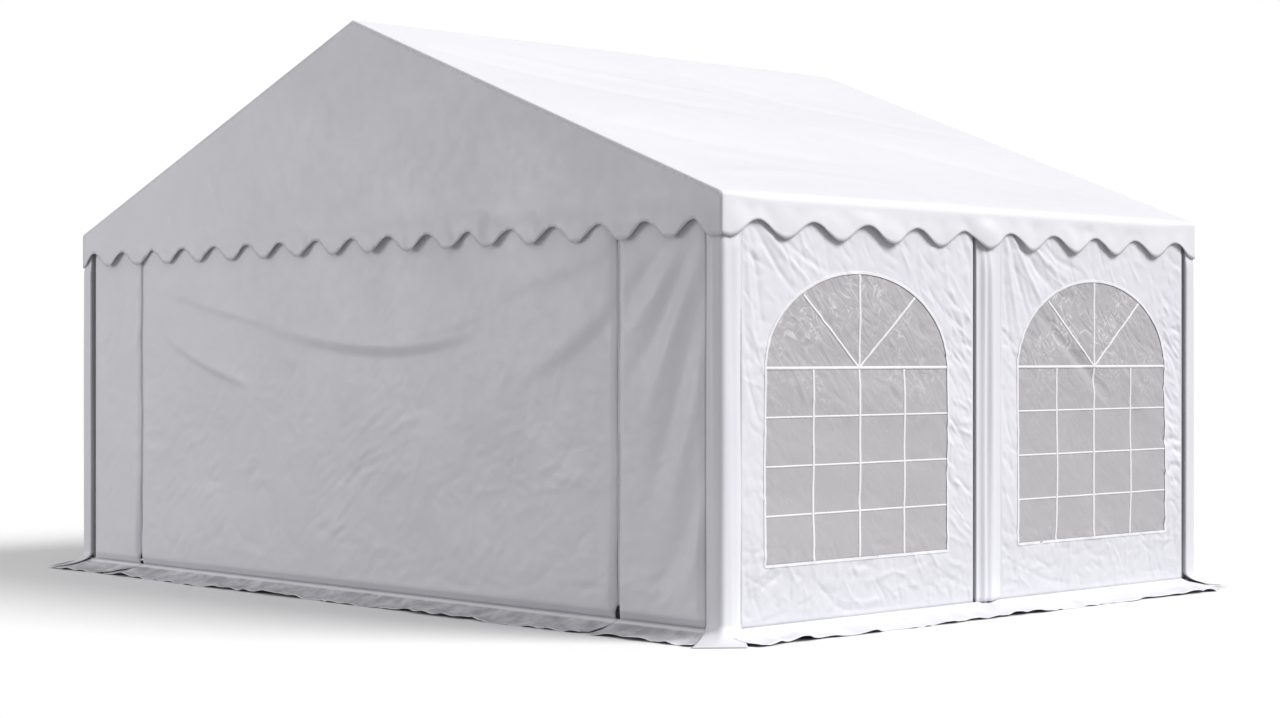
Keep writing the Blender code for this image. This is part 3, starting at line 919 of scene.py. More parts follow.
class MARQUEE_OT_zips(bpy.types.Operator):
    """Zip tapes with their coils between the door panel and its neighbours"""

    bl_idname = "marquee.zips"
    bl_label = "Zips"

    def execute(self, context):
        centres = {
            "left": (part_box("front_wall_left")[1].x + DOOR_LOW.x) / 2,
            "right": (DOOR_HIGH.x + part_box("front_wall_right")[0].x) / 2,
        }
        section = ((-0.019, -0.0087), (-0.006, -0.0079), (-0.0034, -0.0073), (-0.0020, -0.0057), (0.0, -0.0050))
        section += tuple((-u, lift) for u, lift in section[-2::-1])
        for place, turn in PLACES.items():
            for side, centre in centres.items():
                offsets = np.array([u for u, _ in section])
                heights = np.array([lift for _, lift in section])
                rows = spaced(FOOT_Z + ZIP_FOOT - 0.004, HEAD_Z, 0.02)
                index, v, faces = lattice(np.arange(len(section)), rows)
                u = centre + offsets[index] + zip_sway(v, side)
                lift = heights[index]
                shown = side if place == "front" else OTHER[side]
                made = add_sheet(
                    f"zip_{place}_{shown}",
                    turned(on_front(u, v, lift), turn),
                    faces,
                    np.stack([u, v], axis=-1),
                    finish_named("zip_tape"),
                    (0.0, math.copysign(1.0, turn - 1.0), 0.0),
                    (),
                )
        return {"FINISHED"}


def window_outline(centre, margin):
    """The window's outline, larger by margin all round: upright sides and a flattened round head."""
    half = WINDOW_HALF + margin
    points = [(centre - half, WINDOW_SILL - margin), (centre + half, WINDOW_SILL - margin)]
    count = 90
    for step in range(count + 1):
        angle = math.pi * step / count
        points.append((centre + half * math.cos(angle), WINDOW_SPRING + (WINDOW_RISE + margin) * math.sin(angle)))
    return points


def side_relief(u, v, bay, turn):
    """Folds of a side panel: pulls that fan from its upper near corner, puckers at its edges, and creases."""
    rng = np.random.default_rng(61 + (bay == "back") + 2 * (turn > 0))
    lift = billow(u, v, rng, 6, 0.9, 0.0035)
    if bay == "front":
        pulls = (
            (((-1.86, 2.02), (-1.84, 1.70), (-1.82, 1.36)), -0.0050, 0.0112),
            (((-1.83, 2.02), (-1.80, 1.72), (-1.77, 1.40)), 0.0050, 0.0124),
            (((-1.80, 2.00), (-1.74, 1.72), (-1.70, 1.46)), -0.0037, 0.0136),
            (((-1.78, 2.02), (-1.60, 1.80), (-1.46, 1.66)), -0.0056, 0.0149),
            (((-1.74, 2.02), (-1.55, 1.86), (-1.38, 1.74)), 0.0056, 0.0161),
            (((-1.66, 2.02), (-1.44, 1.87), (-1.20, 1.77)), -0.0043, 0.0149),
            (((-1.85, 1.42), (-1.80, 1.22), (-1.72, 1.02)), -0.0037, 0.0124),
            (((-1.78, 1.50), (-1.70, 1.30), (-1.62, 1.10)), 0.0037, 0.0136),
            (((-0.50, 1.78), (-0.34, 1.62), (-0.18, 1.48)), -0.0031, 0.0112),
            (((-0.30, 1.47), (-0.20, 1.38), (-0.10, 1.30)), -0.0031, 0.0099),
            (((-0.30, 1.02), (-0.20, 0.94), (-0.10, 0.85)), -0.0037, 0.0099),
            (((-0.26, 0.63), (-0.17, 0.53), (-0.09, 0.44)), -0.0031, 0.0099),
            (((-1.85, 0.13), (-1.70, 0.25), (-1.54, 0.34)), -0.0080, 0.0124),
            (((-1.85, 0.19), (-1.72, 0.31), (-1.58, 0.40)), 0.0070, 0.0124),
            (((-1.85, 0.08), (-1.70, 0.11), (-1.52, 0.15)), 0.0037, 0.0112),
            (((-1.24, 0.15), (-1.10, 0.10), (-0.93, 0.085), (-0.70, 0.095)), -0.0056, 0.0099),
            (((-1.24, 0.19), (-1.10, 0.14), (-0.93, 0.125), (-0.70, 0.135)), 0.0043, 0.0112),
            (((-0.48, 0.30), (-0.28, 0.21), (-0.08, 0.12)), -0.0037, 0.0136),
        )
    else:
        pulls = (
            (((0.17, 2.04), (0.20, 1.70), (0.26, 1.36)), -0.0062, 0.0136),
            (((0.19, 2.04), (0.25, 1.74), (0.33, 1.46)), 0.0068, 0.0149),
            (((0.21, 2.04), (0.32, 1.76), (0.42, 1.56)), -0.0074, 0.0161),
            (((0.24, 2.04), (0.39, 1.82), (0.54, 1.64)), 0.0081, 0.0174),
            (((0.28, 2.04), (0.48, 1.84), (0.66, 1.70)), -0.0074, 0.0174),
            (((0.34, 2.04), (0.56, 1.88), (0.78, 1.78)), 0.0062, 0.0174),
            (((0.44, 2.04), (0.66, 1.90), (0.92, 1.83)), -0.0050, 0.0161),
            (((0.17, 1.20), (0.22, 1.00), (0.28, 0.84)), -0.0037, 0.0124),
            (((0.17, 0.72), (0.23, 0.58), (0.29, 0.44)), 0.0037, 0.0136),
            (((0.17, 0.30), (0.40, 0.20), (0.62, 0.12)), -0.0043, 0.0136),
            (((1.88, 0.40), (1.76, 0.30), (1.66, 0.22)), -0.0043, 0.0149),
            (((1.30, 0.30), (1.20, 0.18), (1.08, 0.10)), 0.0037, 0.0136),
        )
        for height, size in ((0.66, 0.5), (0.74, 0.9), (0.83, 0.7), (0.89, 1.0), (0.98, 0.8), (1.09, 0.6)):
            spread = height + 0.5 * (height - 0.90)
            lift += fold(u, v, ((1.69, spread), (1.78, height), (1.87, height - 0.02)), -0.0085 * size, 0.016)
    for path, height, width in pulls:
        lift += fold(u, v, path, height, width)
    low, high = (-1.85, -0.08) if bay == "front" else (0.16, 1.88)
    creased = (
        ((low, 1.72, low + 0.50, 2.05), 26, -52.0, 12.0, (0.12, 0.36), 0.0032, 0.0120),
        ((low, 1.30, high, 2.05), 100, -48.0, 30.0, (0.06, 0.26), 0.0044, 0.0130),
        ((low, 0.08, high, 0.45), 190, 25.0, 50.0, (0.05, 0.24), 0.0056, 0.0110),
        ((low, 0.40, low + 0.24, 1.50), 60, -62.0, 25.0, (0.06, 0.24), 0.0030, 0.0115),
        ((high - 0.22, 0.40, high, 1.70), 90, -42.0, 22.0, (0.05, 0.18), 0.0056, 0.0105),
    )
    for region, count, heading, spread, length, height, width in creased:
        lift += crinkles(u, v, rng, region, count, heading, spread, length, height, width)
    lift += facets(u, v, 3.7 + (bay == "back") + 2 * (turn > 0), 0.085, 0.0034)
    return settings().crease * lift * held(u, low, high, 0.022) * held(v, FOOT_Z, HEAD_Z, 0.03)


def film_relief(u, v, bay, turn):
    """The film follows the panel at its edge and lies flatter, with waves of its own, in the middle."""
    centre = WINDOW_CENTRES[bay]
    edge = window_outline(centre, 0.0)
    inset = nearest_on_path(u, v, edge + edge[:1])[0]
    rng = np.random.default_rng(81 + (bay == "back") + 2 * (turn > 0))
    own = billow(u, v, rng, 6, 0.45, 0.0026)
    own += crinkles(u, v, rng, (centre - 0.7, 1.15, centre + 0.7, 1.8), 60, -42.0, 20.0, (0.06, 0.22), 0.0042, 0.014)
    own += crinkles(u, v, rng, (centre - 0.7, 1.05, centre + 0.7, 1.7), 40, 44.0, 20.0, (0.06, 0.18), 0.0042, 0.013)
    own += crinkles(u, v, rng, (centre - 0.7, 0.35, centre + 0.7, 1.3), 50, -30.0, 45.0, (0.08, 0.30), 0.0022, 0.020)
    for height in (1.071, 0.831, 0.591):
        own += 0.0014 * np.sin((u - centre) * 21.0 + 9.0 * height) * np.exp(-(((v - height) / 0.03) ** 2))
    if bay == "back":
        glare = ((centre - 0.55, 1.64), (centre - 0.22, 1.40), (centre + 0.16, 1.12))
        own += fold(u, v, glare, -0.013, 0.034)
    rest = np.exp(-inset / 0.07)
    return side_relief(u, v, bay, turn) * (0.15 + 0.85 * rest) + own * (1 - np.exp(-inset / 0.05))


class MARQUEE_OT_side_walls(bpy.types.Operator):
    """Side panels, one a bay, each with an arched opening"""

    bl_idname = "marquee.side_walls"
    bl_label = "Side walls"

    def execute(self, context):
        for bay in PLACES:
            low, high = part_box(f"side_wall_right_{bay}")
            under = low.y - 0.006
            outline = [(under, FOOT_Z), (high.y, FOOT_Z), (high.y, HEAD_Z), (under, HEAD_Z)]
            for side, turn in SIDES.items():
                step = 0.0104 if side == "right" else 0.0150
                u, v, faces = cut(outline, step, window_outline(WINDOW_CENTRES[bay], 0.0))
                shown = bay if side == "right" else OTHER[bay]
                made = add_sheet(
                    f"side_sheet_{side}_{shown}",
                    turned(on_side(u, v, side_relief(u, v, bay, turn)), turn),
                    faces,
                    np.stack([u, v], axis=-1),
                    finish_named("side_cover"),
                    (math.copysign(1.0, 1.0 - turn), 0.0, 0.0),
                    (f"side_wall_{side}_{shown}",),
                )
        return {"FINISHED"}


class MARQUEE_OT_windows(bpy.types.Operator):
    """Window films with their welded border and white glazing bars"""

    bl_idname = "marquee.windows"
    bl_label = "Windows"

    def execute(self, context):
        for bay in PLACES:
            centre = WINDOW_CENTRES[bay]
            strips = [self.border(centre)] + list(self.bars(centre))
            for side, turn in SIDES.items():
                film = cut(window_outline(centre, 0.010), 0.016 if side == "right" else 0.030)
                self.add_window(bay, side, turn, film, strips)
        return {"FINISHED"}

    def add_window(self, bay, side, turn, film, strips):
        shown = bay if side == "right" else OTHER[bay]
        outwards = (math.copysign(1.0, 1.0 - turn), 0.0, 0.0)
        u, v, faces = film
        pane = add_sheet(
            f"window_film_{side}_{shown}",
            turned(on_side(u, v, film_relief(u, v, bay, turn) - settings().sheet - 0.0004), turn),
            faces,
            np.stack([u, v], axis=-1),
            finish_named("window_film"),
            outwards,
            (f"window_{side}_{shown}",),
            0.0005,
        )
        u = np.concatenate([strip[0] for strip in strips])
        v = np.concatenate([strip[1] for strip in strips])
        starts = np.cumsum([0] + [len(strip[0]) for strip in strips])
        faces = np.concatenate([strip[2] + start for strip, start in zip(strips, starts)])
        proud = np.concatenate([np.full(len(strip[0]), strip[3]) for strip in strips])
        edge = window_outline(WINDOW_CENTRES[bay], 0.0)
        outside = ~inside(u, v, edge)
        lift = np.where(outside, side_relief(u, v, bay, turn), film_relief(u, v, bay, turn))
        bars = add_sheet(
            f"window_bars_{side}_{shown}",
            turned(on_side(u, v, lift + proud), turn),
            faces,
            np.stack([u, v], axis=-1),
            finish_named("window_bars"),
            outwards,
            (),
            0.0016,
        )

    def border(self, centre):
        """A narrow welded band over the edge of the opening, as one closed ring."""
        rings = [stepped(window_outline(centre, margin), 0.016) for margin in (0.0,)]
        middle = np.array(rings[0])
        after = np.roll(middle, -1, axis=0) - np.roll(middle, 1, axis=0)
        normal = np.stack([after[:, 1], -after[:, 0]], axis=-1)
        normal /= np.linalg.norm(normal, axis=1)[:, None]
        offsets = (-0.006, -0.004, 0.001, 0.007, 0.009)
        count = len(middle)
        points = np.concatenate([middle + normal * offset for offset in offsets])
        corner = np.arange(count * len(offsets)).reshape(len(offsets), count)
        faces = []
        for inner, outer in zip(corner[:-1], corner[1:]):
            faces.append(np.stack([inner, np.roll(inner, -1), np.roll(outer, -1), outer], axis=1))
        return points[:, 0], points[:, 1], np.concatenate(faces), 0.0008

    def bars(self, centre):
        """White bars on the film: an upright grid under the spring line and a fan in the arch."""
        hub = (centre, WINDOW_SPRING)
        column = WINDOW_HALF / 2
        row = (WINDOW_SPRING - WINDOW_SILL) / 4
        lines = []
        for level in range(1, 4):
            height = WINDOW_SILL + row * level
            lines.append(((centre - WINDOW_HALF, height), (centre + WINDOW_HALF, height), 0.0048, 0.0010))
        lines.append(((centre - WINDOW_HALF, WINDOW_SPRING), (centre + WINDOW_HALF, WINDOW_SPRING), 0.0080, 0.0014))
        for offset in (-column, column):
            lines.append(((centre + offset, WINDOW_SILL), (centre + offset, WINDOW_SPRING), 0.0078, 0.0011))
        lines.append(((centre, WINDOW_SILL), (centre, WINDOW_SPRING + WINDOW_RISE), 0.0085, 0.0012))
        for tip in ((centre - 0.421, WINDOW_SPRING + 0.360), (centre + 0.437, WINDOW_SPRING + 0.360)):
            lines.append((hub, tip, 0.0065, 0.0013))
        for start, end, half, proud in lines:
            run = math.hypot(end[0] - start[0], end[1] - start[1])
            along = (end[0] - start[0]) / run, (end[1] - start[1]) / run
            s, across, faces = lattice(spaced(0.0, run, 0.016), np.array([-half, 0.0, half]))
            u = start[0] + along[0] * s - along[1] * across
            v = start[1] + along[1] * s + along[0] * across
            yield u, v, faces, proud - settings().sheet


def rounded_path(corners, radii, step):
    """An open path with its corners rounded, as points no further apart than step."""
    points = [np.array(corners[0], float)]
    for before, corner, after, radius in zip(corners[:-2], corners[1:-1], corners[2:], radii):
        before, corner, after = (np.array(p, float) for p in (before, corner, after))
        into = (before - corner) / np.linalg.norm(before - corner)
        out = (after - corner) / np.linalg.norm(after - corner)
        half = math.acos(float(np.clip(np.dot(into, out), -1, 1))) / 2
        reach = radius / math.tan(half)
        start, end = corner + into * reach, corner + out * reach
        count = max(3, math.ceil(radius * (math.pi - 2 * half) / step))
        for k in range(count + 1):
            part = k / count
            points.append((1 - part) ** 2 * start + 2 * part * (1 - part) * corner + part**2 * end)
    points.append(np.array(corners[-1], float))
    filled = [points[0]]
    for before, after in zip(points[:-1], points[1:]):
        count = max(1, math.ceil(np.linalg.norm(after - before) / step))
        filled += [before + (after - before) * (k + 1) / count for k in range(count)]
    return np.array(filled)


def section_normals(section, outwards):
    """Unit normals of an open path in plan, on the side that outwards points to."""
    along = np.gradient(section, axis=0)
    normal = np.stack([along[:, 1], -along[:, 0]], axis=-1)
    normal /= np.linalg.norm(normal, axis=1)[:, None]
    if (normal @ np.array(outwards)).sum() < 0:
        normal = -normal
    return normal


RETURN = 0.045
FLARE_ROWS = 12

# Foot of a corner strip: how high its flare begins, and the start, pull and end of its cut edge on the ground
WIDE_FLARE_Z = 0.095
WIDE_FOOT = (
    (HALF_WIDTH - 0.011, -SKIRT_Y + 0.002),
    (HALF_WIDTH + 0.078, -HALF_LENGTH - 0.098),
    (HALF_WIDTH + 0.167, -HALF_LENGTH + 0.003),
)
SLIM_FLARE_Z = 0.105
SLIM_FOOT = (
    (HALF_WIDTH + 0.040, -SKIRT_Y + 0.004),
    (HALF_WIDTH + 0.075, -SKIRT_Y + 0.003),
    (HALF_WIDTH + 0.103, -SKIRT_Y + 0.005),
)


# Pleats of the strip over a middle post: places along the tent, and how far the strip stands out there
MIDDLE_PLEATS = (
    (-0.053, 0.000),
    (-0.024, 0.001),
    (-0.008, 0.015),
    (0.002, 0.021),
    (0.012, 0.015),
    (0.022, 0.013),
    (0.038, 0.026),
    (0.048, 0.030),
    (0.062, 0.027),
    (0.090, 0.012),
    (0.120, 0.002),
    (0.140, 0.000),
)


class MARQUEE_OT_post_covers(bpy.types.Operator):
    """Strips that wrap the posts, those at the corners with a foot that flares out on the ground"""

    bl_idname = "marquee.post_covers"
    bl_label = "Post covers"

    def execute(self, context):
        for place, side, wide in (
            ("front", "right", True),
            ("back", "left", True),
            ("back", "right", False),
            ("front", "left", False),
        ):
            self.add_corner(place, side, wide)
        for side, turn in SIDES.items():
            self.add_middle(side, turn)
        return {"FINISHED"}

    def add_corner(self, place, side, wide):
        """An angle of sheet round a corner post. It is worked out at the front right and carried to its corner."""
        low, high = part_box(f"corner_cover_{place}_{side}")
        gable_leg, side_leg = high.x - low.x, high.y - low.y
        x, y = WALL_X + 0.0013, WALL_Y + 0.0013
        if not wide:
            gable_leg -= 0.008
        corners = [(x - gable_leg, -y), (x, -y), (x, side_leg - y)]
        radii = [0.018]
        flare_z, tips = WIDE_FLARE_Z, np.array(WIDE_FOOT)
        if not wide:
            corners = [(x - gable_leg, RETURN - y)] + corners + [(x - RETURN, side_leg - y)]
            radii = [0.006, 0.008, 0.006]
            flare_z, tips = SLIM_FLARE_Z, np.array(SLIM_FOOT)
        section = rounded_path(corners, radii, 0.009)
        normal = section_normals(section, (1.0, -1.0))
        shown = np.minimum(x - section[:, 0], y + section[:, 1]) < (0.016 if wide else 0.004)
        length = np.concatenate([[0.0], np.cumsum(np.linalg.norm(np.diff(section, axis=0), axis=1))])
        first, last = np.flatnonzero(shown)[[0, -1]]
        share = np.clip((length - length[first]) / (length[last] - length[first]), 0.0, 1.0)
        seam = np.minimum(length - length[first], length[last] - length)
        stand = (HALF_LENGTH - WALL_Y - 0.003) * ease(seam, 0.0, 0.050 if wide else 0.004)
        share = share[:, None]
        foot = (1 - share) ** 2 * tips[0] + 2 * share * (1 - share) * tips[1] + share**2 * tips[2]
        rows = [(height, 0.0) for height in spaced(flare_z, HEAD_Z, 0.026)[::-1]]
        rows += [(flare_z, (step + 1) / FLARE_ROWS) for step in range(FLARE_ROWS)]
        points, uv = [], []
        for height, part in rows:
            bulge = 0.0016 * np.sin(length * 46.0 + 0.9 * math.sin(height * 2.3))
            bulge += 0.0010 * np.sin(length * 95.0 + height * 1.7)
            bulge += 0.0012 * math.sin(height * 5.1 + 1.0) * np.sin(length * 23.0)
            tucked = float(ease(height, 1.90, 1.95))
            bulge = bulge * (1 - tucked) + stand * (1 - 0.45 * tucked)
            ring = section + normal * (bulge * shown)[:, None]
            swept = (1 - part**2) * ring + part**2 * foot
            tip_z = 0.0040 if wide else 0.0110
            drop = (1 - part) ** 2 * flare_z + 2 * part * (1 - part) * 0.036 + part**2 * tip_z
            down = np.where(shown, drop, flare_z - (flare_z - FOOT_Z) * part) if part else height
            ring = np.where(shown[:, None], swept, ring)
            points.append(np.column_stack([ring, np.broadcast_to(down, length.shape)]))
            uv.append(np.column_stack([length, np.full(length.shape, height - HEAD_Z - part * 0.25)]))
        points = np.concatenate(points)
        points[:, 0] *= 1.0 if side == "right" else -1.0
        points[:, 1] *= 1.0 if place == "front" else -1.0
        away = np.sign([0.5 * (low.x + high.x), 0.5 * (low.y + high.y), 0.0])
        made = add_sheet(
            f"corner_strip_{place}_{side}",
            points,
            grid_faces(len(section), len(rows)),
            np.concatenate(uv),
            finish_named("post_cover"),
            away + np.array([0.0, 0.0, 0.3]),
            (f"corner_cover_{place}_{side}",),
        )

    def add_middle(self, side, turn):
        """A strip over a middle post, with its edge turned in beside the gap."""
        low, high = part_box("post_cover_right")
        x = WALL_X + 0.0013
        corners = [(x - RETURN, low.y - 0.035), (x - RETURN, low.y), (x, low.y), (x, high.y)]
        section = rounded_path(corners, [0.006, 0.006], 0.009)
        normal = section_normals(section, (1.0, 0.0))
        shown = x - section[:, 0] < 0.004
        length = np.concatenate([[0.0], np.cumsum(np.linalg.norm(np.diff(section, axis=0), axis=1))])
        rows = spaced(FOOT_Z, HEAD_Z, 0.026)[::-1]
        column, z, faces = lattice(np.arange(len(section)), rows)
        swell = np.interp(section[:, 1], *zip(*MIDDLE_PLEATS))
        bulge = (swell * shown)[column] * (1 + 0.14 * np.sin(z * 3.1 + column * 0.4))
        bulge *= 1 - 0.55 * ease(z, 1.80, 1.98)
        points = np.column_stack([section[column] + normal[column] * bulge[:, None], z])
        made = add_sheet(
            f"post_strip_{side}",
            turned(points, turn),
            faces,
            np.column_stack([length[column], z]),
            finish_named("post_cover"),
            (math.copysign(1.0, 1.0 - turn), 0.0, 0.0),
            (f"post_cover_{side}",),
        )


class MARQUEE_OT_skirts(bpy.types.Operator):
    """Ground flaps that slope from the foot of the walls and lie out on the ground, slit at the zips"""

    bl_idname = "marquee.skirts"
    bl_label = "Ground skirts"

    def execute(self, context):
        zips = (
            (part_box("front_wall_left")[1].x + DOOR_LOW.x) / 2,
            (DOOR_HIGH.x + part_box("front_wall_right")[0].x) / 2,
        )
        for place, turn in PLACES.items():
            self.add_skirt(f"skirt_{place}", "front", turn, WALL_X, zips, 111 + (turn > 0))
        for side, turn in SIDES.items():
            self.add_skirt(f"skirt_{side}", "side", turn, WALL_Y, (), 121 + (turn > 0))
        return {"FINISHED"}

    def add_skirt(self, node, wall, turn, half, slits, seed):
        rng = np.random.default_rng(seed)
        bounds = [-half] + list(slits) + [half]
        slants = (-0.075, -0.160, -0.090, -0.035) if wall == "front" else (0.052, 0.298)
        if wall == "side":
            bounds[-1] -= 0.100
        pieces = []
        start = 0
        reach = (SKIRT_Y - WALL_Y) - 0.006
        for index, (low, high) in enumerate(zip(bounds[:-1], bounds[1:])):
            part, down, faces = lattice(spaced(0.0, 1.0, 0.0165 / (high - low)), spaced(0.0, 1.0, 1 / 14))
            ends = low + slants[index] * down, high + slants[index + 1] * down
            if index > 0:
                ends = (ends[0] + 0.0010 + 0.002 * down, ends[1])
            along = ends[0] + (ends[1] - ends[0]) * part
            pieces.append((along, down, faces + start, index))
            start += len(along)
        along = np.concatenate([piece[0] for piece in pieces])
        down = np.concatenate([piece[1] for piece in pieces])
        faces = np.concatenate([piece[2] for piece in pieces])
        which = np.concatenate([np.full(len(piece[0]), piece[3]) for piece in pieces])
        ragged = 0.008 * np.sin(along * 2.9 + seed) + 0.006 * np.sin(along * 8.3) + 0.004 * np.sin(along * 23.0 + 1.0)
        ragged += crinkles(along, 0 * along, rng, (-half, 0.0, half, 0.0), 70, 0.0, 1.0, (0.04, 0.16), 0.011, 0.022)
        far = reach - 0.016 + np.clip(ragged, -0.03, 0.016)
        if wall == "side":
            far = far - 0.085 * ease(along, 1.90, 2.18)
        weld = np.clip(down / 0.10, 0.0, 1.0)
        loose = np.clip((down - 0.10) / 0.90, 0.0, 1.0)
        out = 0.017 * weld + (far - 0.017) * loose
        edge = 0.010 + 0.006 * np.sin(along * 4.1 + seed) + 0.004 * np.sin(along * 11.0 + 0.5)
        edge = edge + 0.004 * np.sin(along * 31.0 + 1.5 * np.sin(along * 7.0))
        edge = np.clip(edge + ragged * 0.3, 0.0025, 0.022)
        z = FOOT_Z - 0.017 * weld + (edge - FOOT_Z + 0.017) * (1 - (1 - loose) ** 1.9)
        waves = crinkles(along, down * 0.2, rng, (-half, 0.0, half, 0.2), 150, 85.0, 25.0, (0.05, 0.22), 0.005, 0.022)
        waves += crinkles(along, down * 0.2, rng, (-half, 0.08, half, 0.2), 60, 8.0, 20.0, (0.10, 0.40), 0.005, 0.020)
        z = z + waves * held(down, 0.0, 1.25, 0.25)
        for index, (low, high) in enumerate(zip(bounds[:-1], bounds[1:])):
            mine = which == index
            rising = ease(along - high, -0.20, -0.02 + slants[index + 1]) * (index < len(slits))
            tucked = ease(low - along, -0.16, 0.0) * (index > 0)
            z = np.where(mine, z + (0.004 * rising - 0.003 * tucked) * ease(down, 0.1, 0.5), z)
        z = np.maximum(z, 0.0022)
        if wall == "front":
            points = np.stack([along, -WALL_Y - out, z], axis=-1)
            outwards = (0.0, math.copysign(0.5, turn - 1.0), 1.0)
        else:
            points = np.stack([WALL_X + out, along, z], axis=-1)
            outwards = (math.copysign(0.5, 1.0 - turn), 0.0, 1.0)
        made = add_sheet(
            f"{node}_sheet",
            turned(points, turn),
            faces,
            np.stack([along, -0.2 * down], axis=-1),
            finish_named("trodden_skirt" if wall == "front" else "ground_skirt"),
            outwards,
            (node,),
        )


class MARQUEE_OT_frame(bpy.types.Operator):
    """Galvanised finish on the tubes and fittings"""

    bl_idname = "marquee.frame"
    bl_label = "Frame"

    def execute(self, context):
        steel = finish_named("galvanised_steel")
        for name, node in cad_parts.items():
            if name.startswith(("post_front", "post_middle", "post_back", "rafter_")) or "purlin" in name:
                node.data.materials.clear()
                node.data.materials.append(steel)
        return {"FINISHED"}


# Wing screws in the frame's sleeves
SLEEVE_RADIUS = 0.0235
SLEEVE_LENGTH = 0.13
NUT_RADIUS = 0.0085
NUT_HEIGHT = 0.009
WING_REACH = 0.012
WING_RISE = 0.007


def choose_faces(piece, wanted):
    """In edit mode, selects the faces that wanted says yes to, and no others."""
    shape = bmesh.from_edit_mesh(piece.data)
    for face in shape.faces:
        face.select_set(False)
    for face in shape.faces:
        if wanted(face):
            face.select_set(True)
    bmesh.update_edit_mesh(piece.data)


def extrude_faces(reach, size=(1.0, 1.0, 1.0)):
    """Carries the selected faces by reach, and then resizes them about the vertical axis."""
    bpy.ops.mesh.extrude_region_move(TRANSFORM_OT_translate={"value": reach})
    bpy.ops.transform.resize(value=size, center_override=(0.0, 0.0, 0.0))


class MARQUEE_OT_wing_screws(bpy.types.Operator):
    """Wing screws that hold the posts and rafters in their sleeves, each in a nut welded to the sleeve"""

    bl_idname = "marquee.wing_screws"
    bl_label = "Wing screws"

    def execute(self, context):
        first = self.model_screw()
        for place, towards in self.sleeves():
            copy = first.copy()
            copy.data = first.data.copy()
            turn = towards.to_track_quat("Z", "Y").to_matrix().to_4x4()
            copy.matrix_world = Matrix.Translation(place) @ turn
            context.scene.collection.objects.link(copy)
            copy.select_set(True)
            context.view_layer.objects.active = copy
        first.select_set(False)
        bpy.ops.object.join()
        bpy.ops.object.transform_apply(location=True, rotation=True, scale=True)
        screws = context.active_object
        screws.name = "wing_screws"
        bpy.data.objects.remove(first)
        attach(screws, "root")
        return {"FINISHED"}

    def model_screw(self):
        """One screw on the axis Z, which stands on a sleeve that lies across the origin."""
        top = SLEEVE_RADIUS + NUT_HEIGHT
        bpy.ops.object.select_all(action="DESELECT")
        low = SLEEVE_RADIUS - 0.003
        bpy.ops.mesh.primitive_cylinder_add(
            vertices=6, radius=NUT_RADIUS, depth=top - low, location=(0.0, 0.0, (top + low) / 2)
        )
        bpy.ops.object.transform_apply(location=True, rotation=True, scale=True)
        screw = bpy.context.active_object
        bpy.ops.object.mode_set(mode="EDIT")
        bpy.ops.mesh.select_mode(type="FACE")
        choose_faces(screw, lambda face: face.normal.z > 0.9)
        bpy.ops.mesh.inset(thickness=0.0045)
        extrude_faces((0.0, 0.0, 0.004), (1.0, 1.0, 1.0))
        extrude_faces((0.0, 0.0, 0.0), (2.0, 2.0, 1.0))
        extrude_faces((0.0, 0.0, 0.009), (0.8, 0.8, 1.0))
        for side in (-1.0, 1.0):
            choose_faces(
                screw, lambda face: face.normal.x * side > 0.9 and face.calc_center_median().z > top + 0.004
            )
            extrude_faces((side * WING_REACH / 2, 0.0, WING_RISE / 2), (1.0, 0.45, 1.0))
            extrude_faces((side * WING_REACH / 2, 0.0, WING_RISE / 2))
        bpy.ops.mesh.select_all(action="SELECT")
        bpy.ops.mesh.normals_make_consistent(inside=False)
        bpy.ops.object.mode_set(mode="OBJECT")
        soft = screw.modifiers.new("Edges", "BEVEL")
        soft.width = 0.0007
        soft.segments = 1
        soft.limit_method = "ANGLE"
        soft.angle_limit = math.radians(50.0)
        apply_modifiers(screw)
        bpy.ops.object.shade_smooth_by_angle(angle=math.radians(40.0))
        screw.data.materials.append(finish_named("galvanised_steel"))
        screw.select_set(False)
        return screw

    def sleeves(self):
        """The middle of each sleeve, and the way that its screw points: inwards from a post, down from a rafter."""
        purlin_low, purlin_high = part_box("slope_purlin_right")
        middle_x, middle_z = (purlin_low.x + purlin_high.x) / 2, (purlin_low.z + purlin_high.z) / 2
        post_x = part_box("eave_purlin_right")[1].x - SLEEVE_RADIUS
        for place in ("front", "middle", "back"):
            y = self.portal(place)
            eave_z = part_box(f"post_{place}_right")[1].z + SLEEVE_LENGTH
            pitch = math.atan2(middle_z - eave_z, post_x - middle_x)
            whole = 2 * math.hypot(middle_z - eave_z, post_x - middle_x)
            for side in (-1.0, 1.0):
                yield Vector((side * post_x, y, eave_z - 0.62 * SLEEVE_LENGTH)), Vector((-side, 0.0, 0.0))
                down = Vector((-side * math.sin(pitch), 0.0, -math.cos(pitch)))
                for run in (0.62 * SLEEVE_LENGTH, whole - 0.62 * SLEEVE_LENGTH):
                    x = side * (post_x - run * math.cos(pitch))
                    yield Vector((x, y, eave_z + run * math.sin(pitch))), down

    def portal(self, place):
        """Where along the tent a pair of posts stands."""
        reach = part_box("ridge_purlin")[1].y - SLEEVE_RADIUS
        return {"front": -reach, "middle": 0.0, "back": reach}[place]


# Stage


LENS = 66.97
CAMERA_PLACE = (10.7758, -10.0924, 1.3721)
CAMERA_YAW = math.radians(46.205)
HORIZON_SHIFT = -0.0025
KEY_FROM = (0.68, 0.36, 0.64)
FILL_PLACE = (-7.6, -9.5, 2.4)
FILL_AIM = (-2.0, -2.0, 1.3)
SKY_LIGHT = 0.50
LOW_LIGHT = 0.18
FLOOR_BOUNCE = 0.36


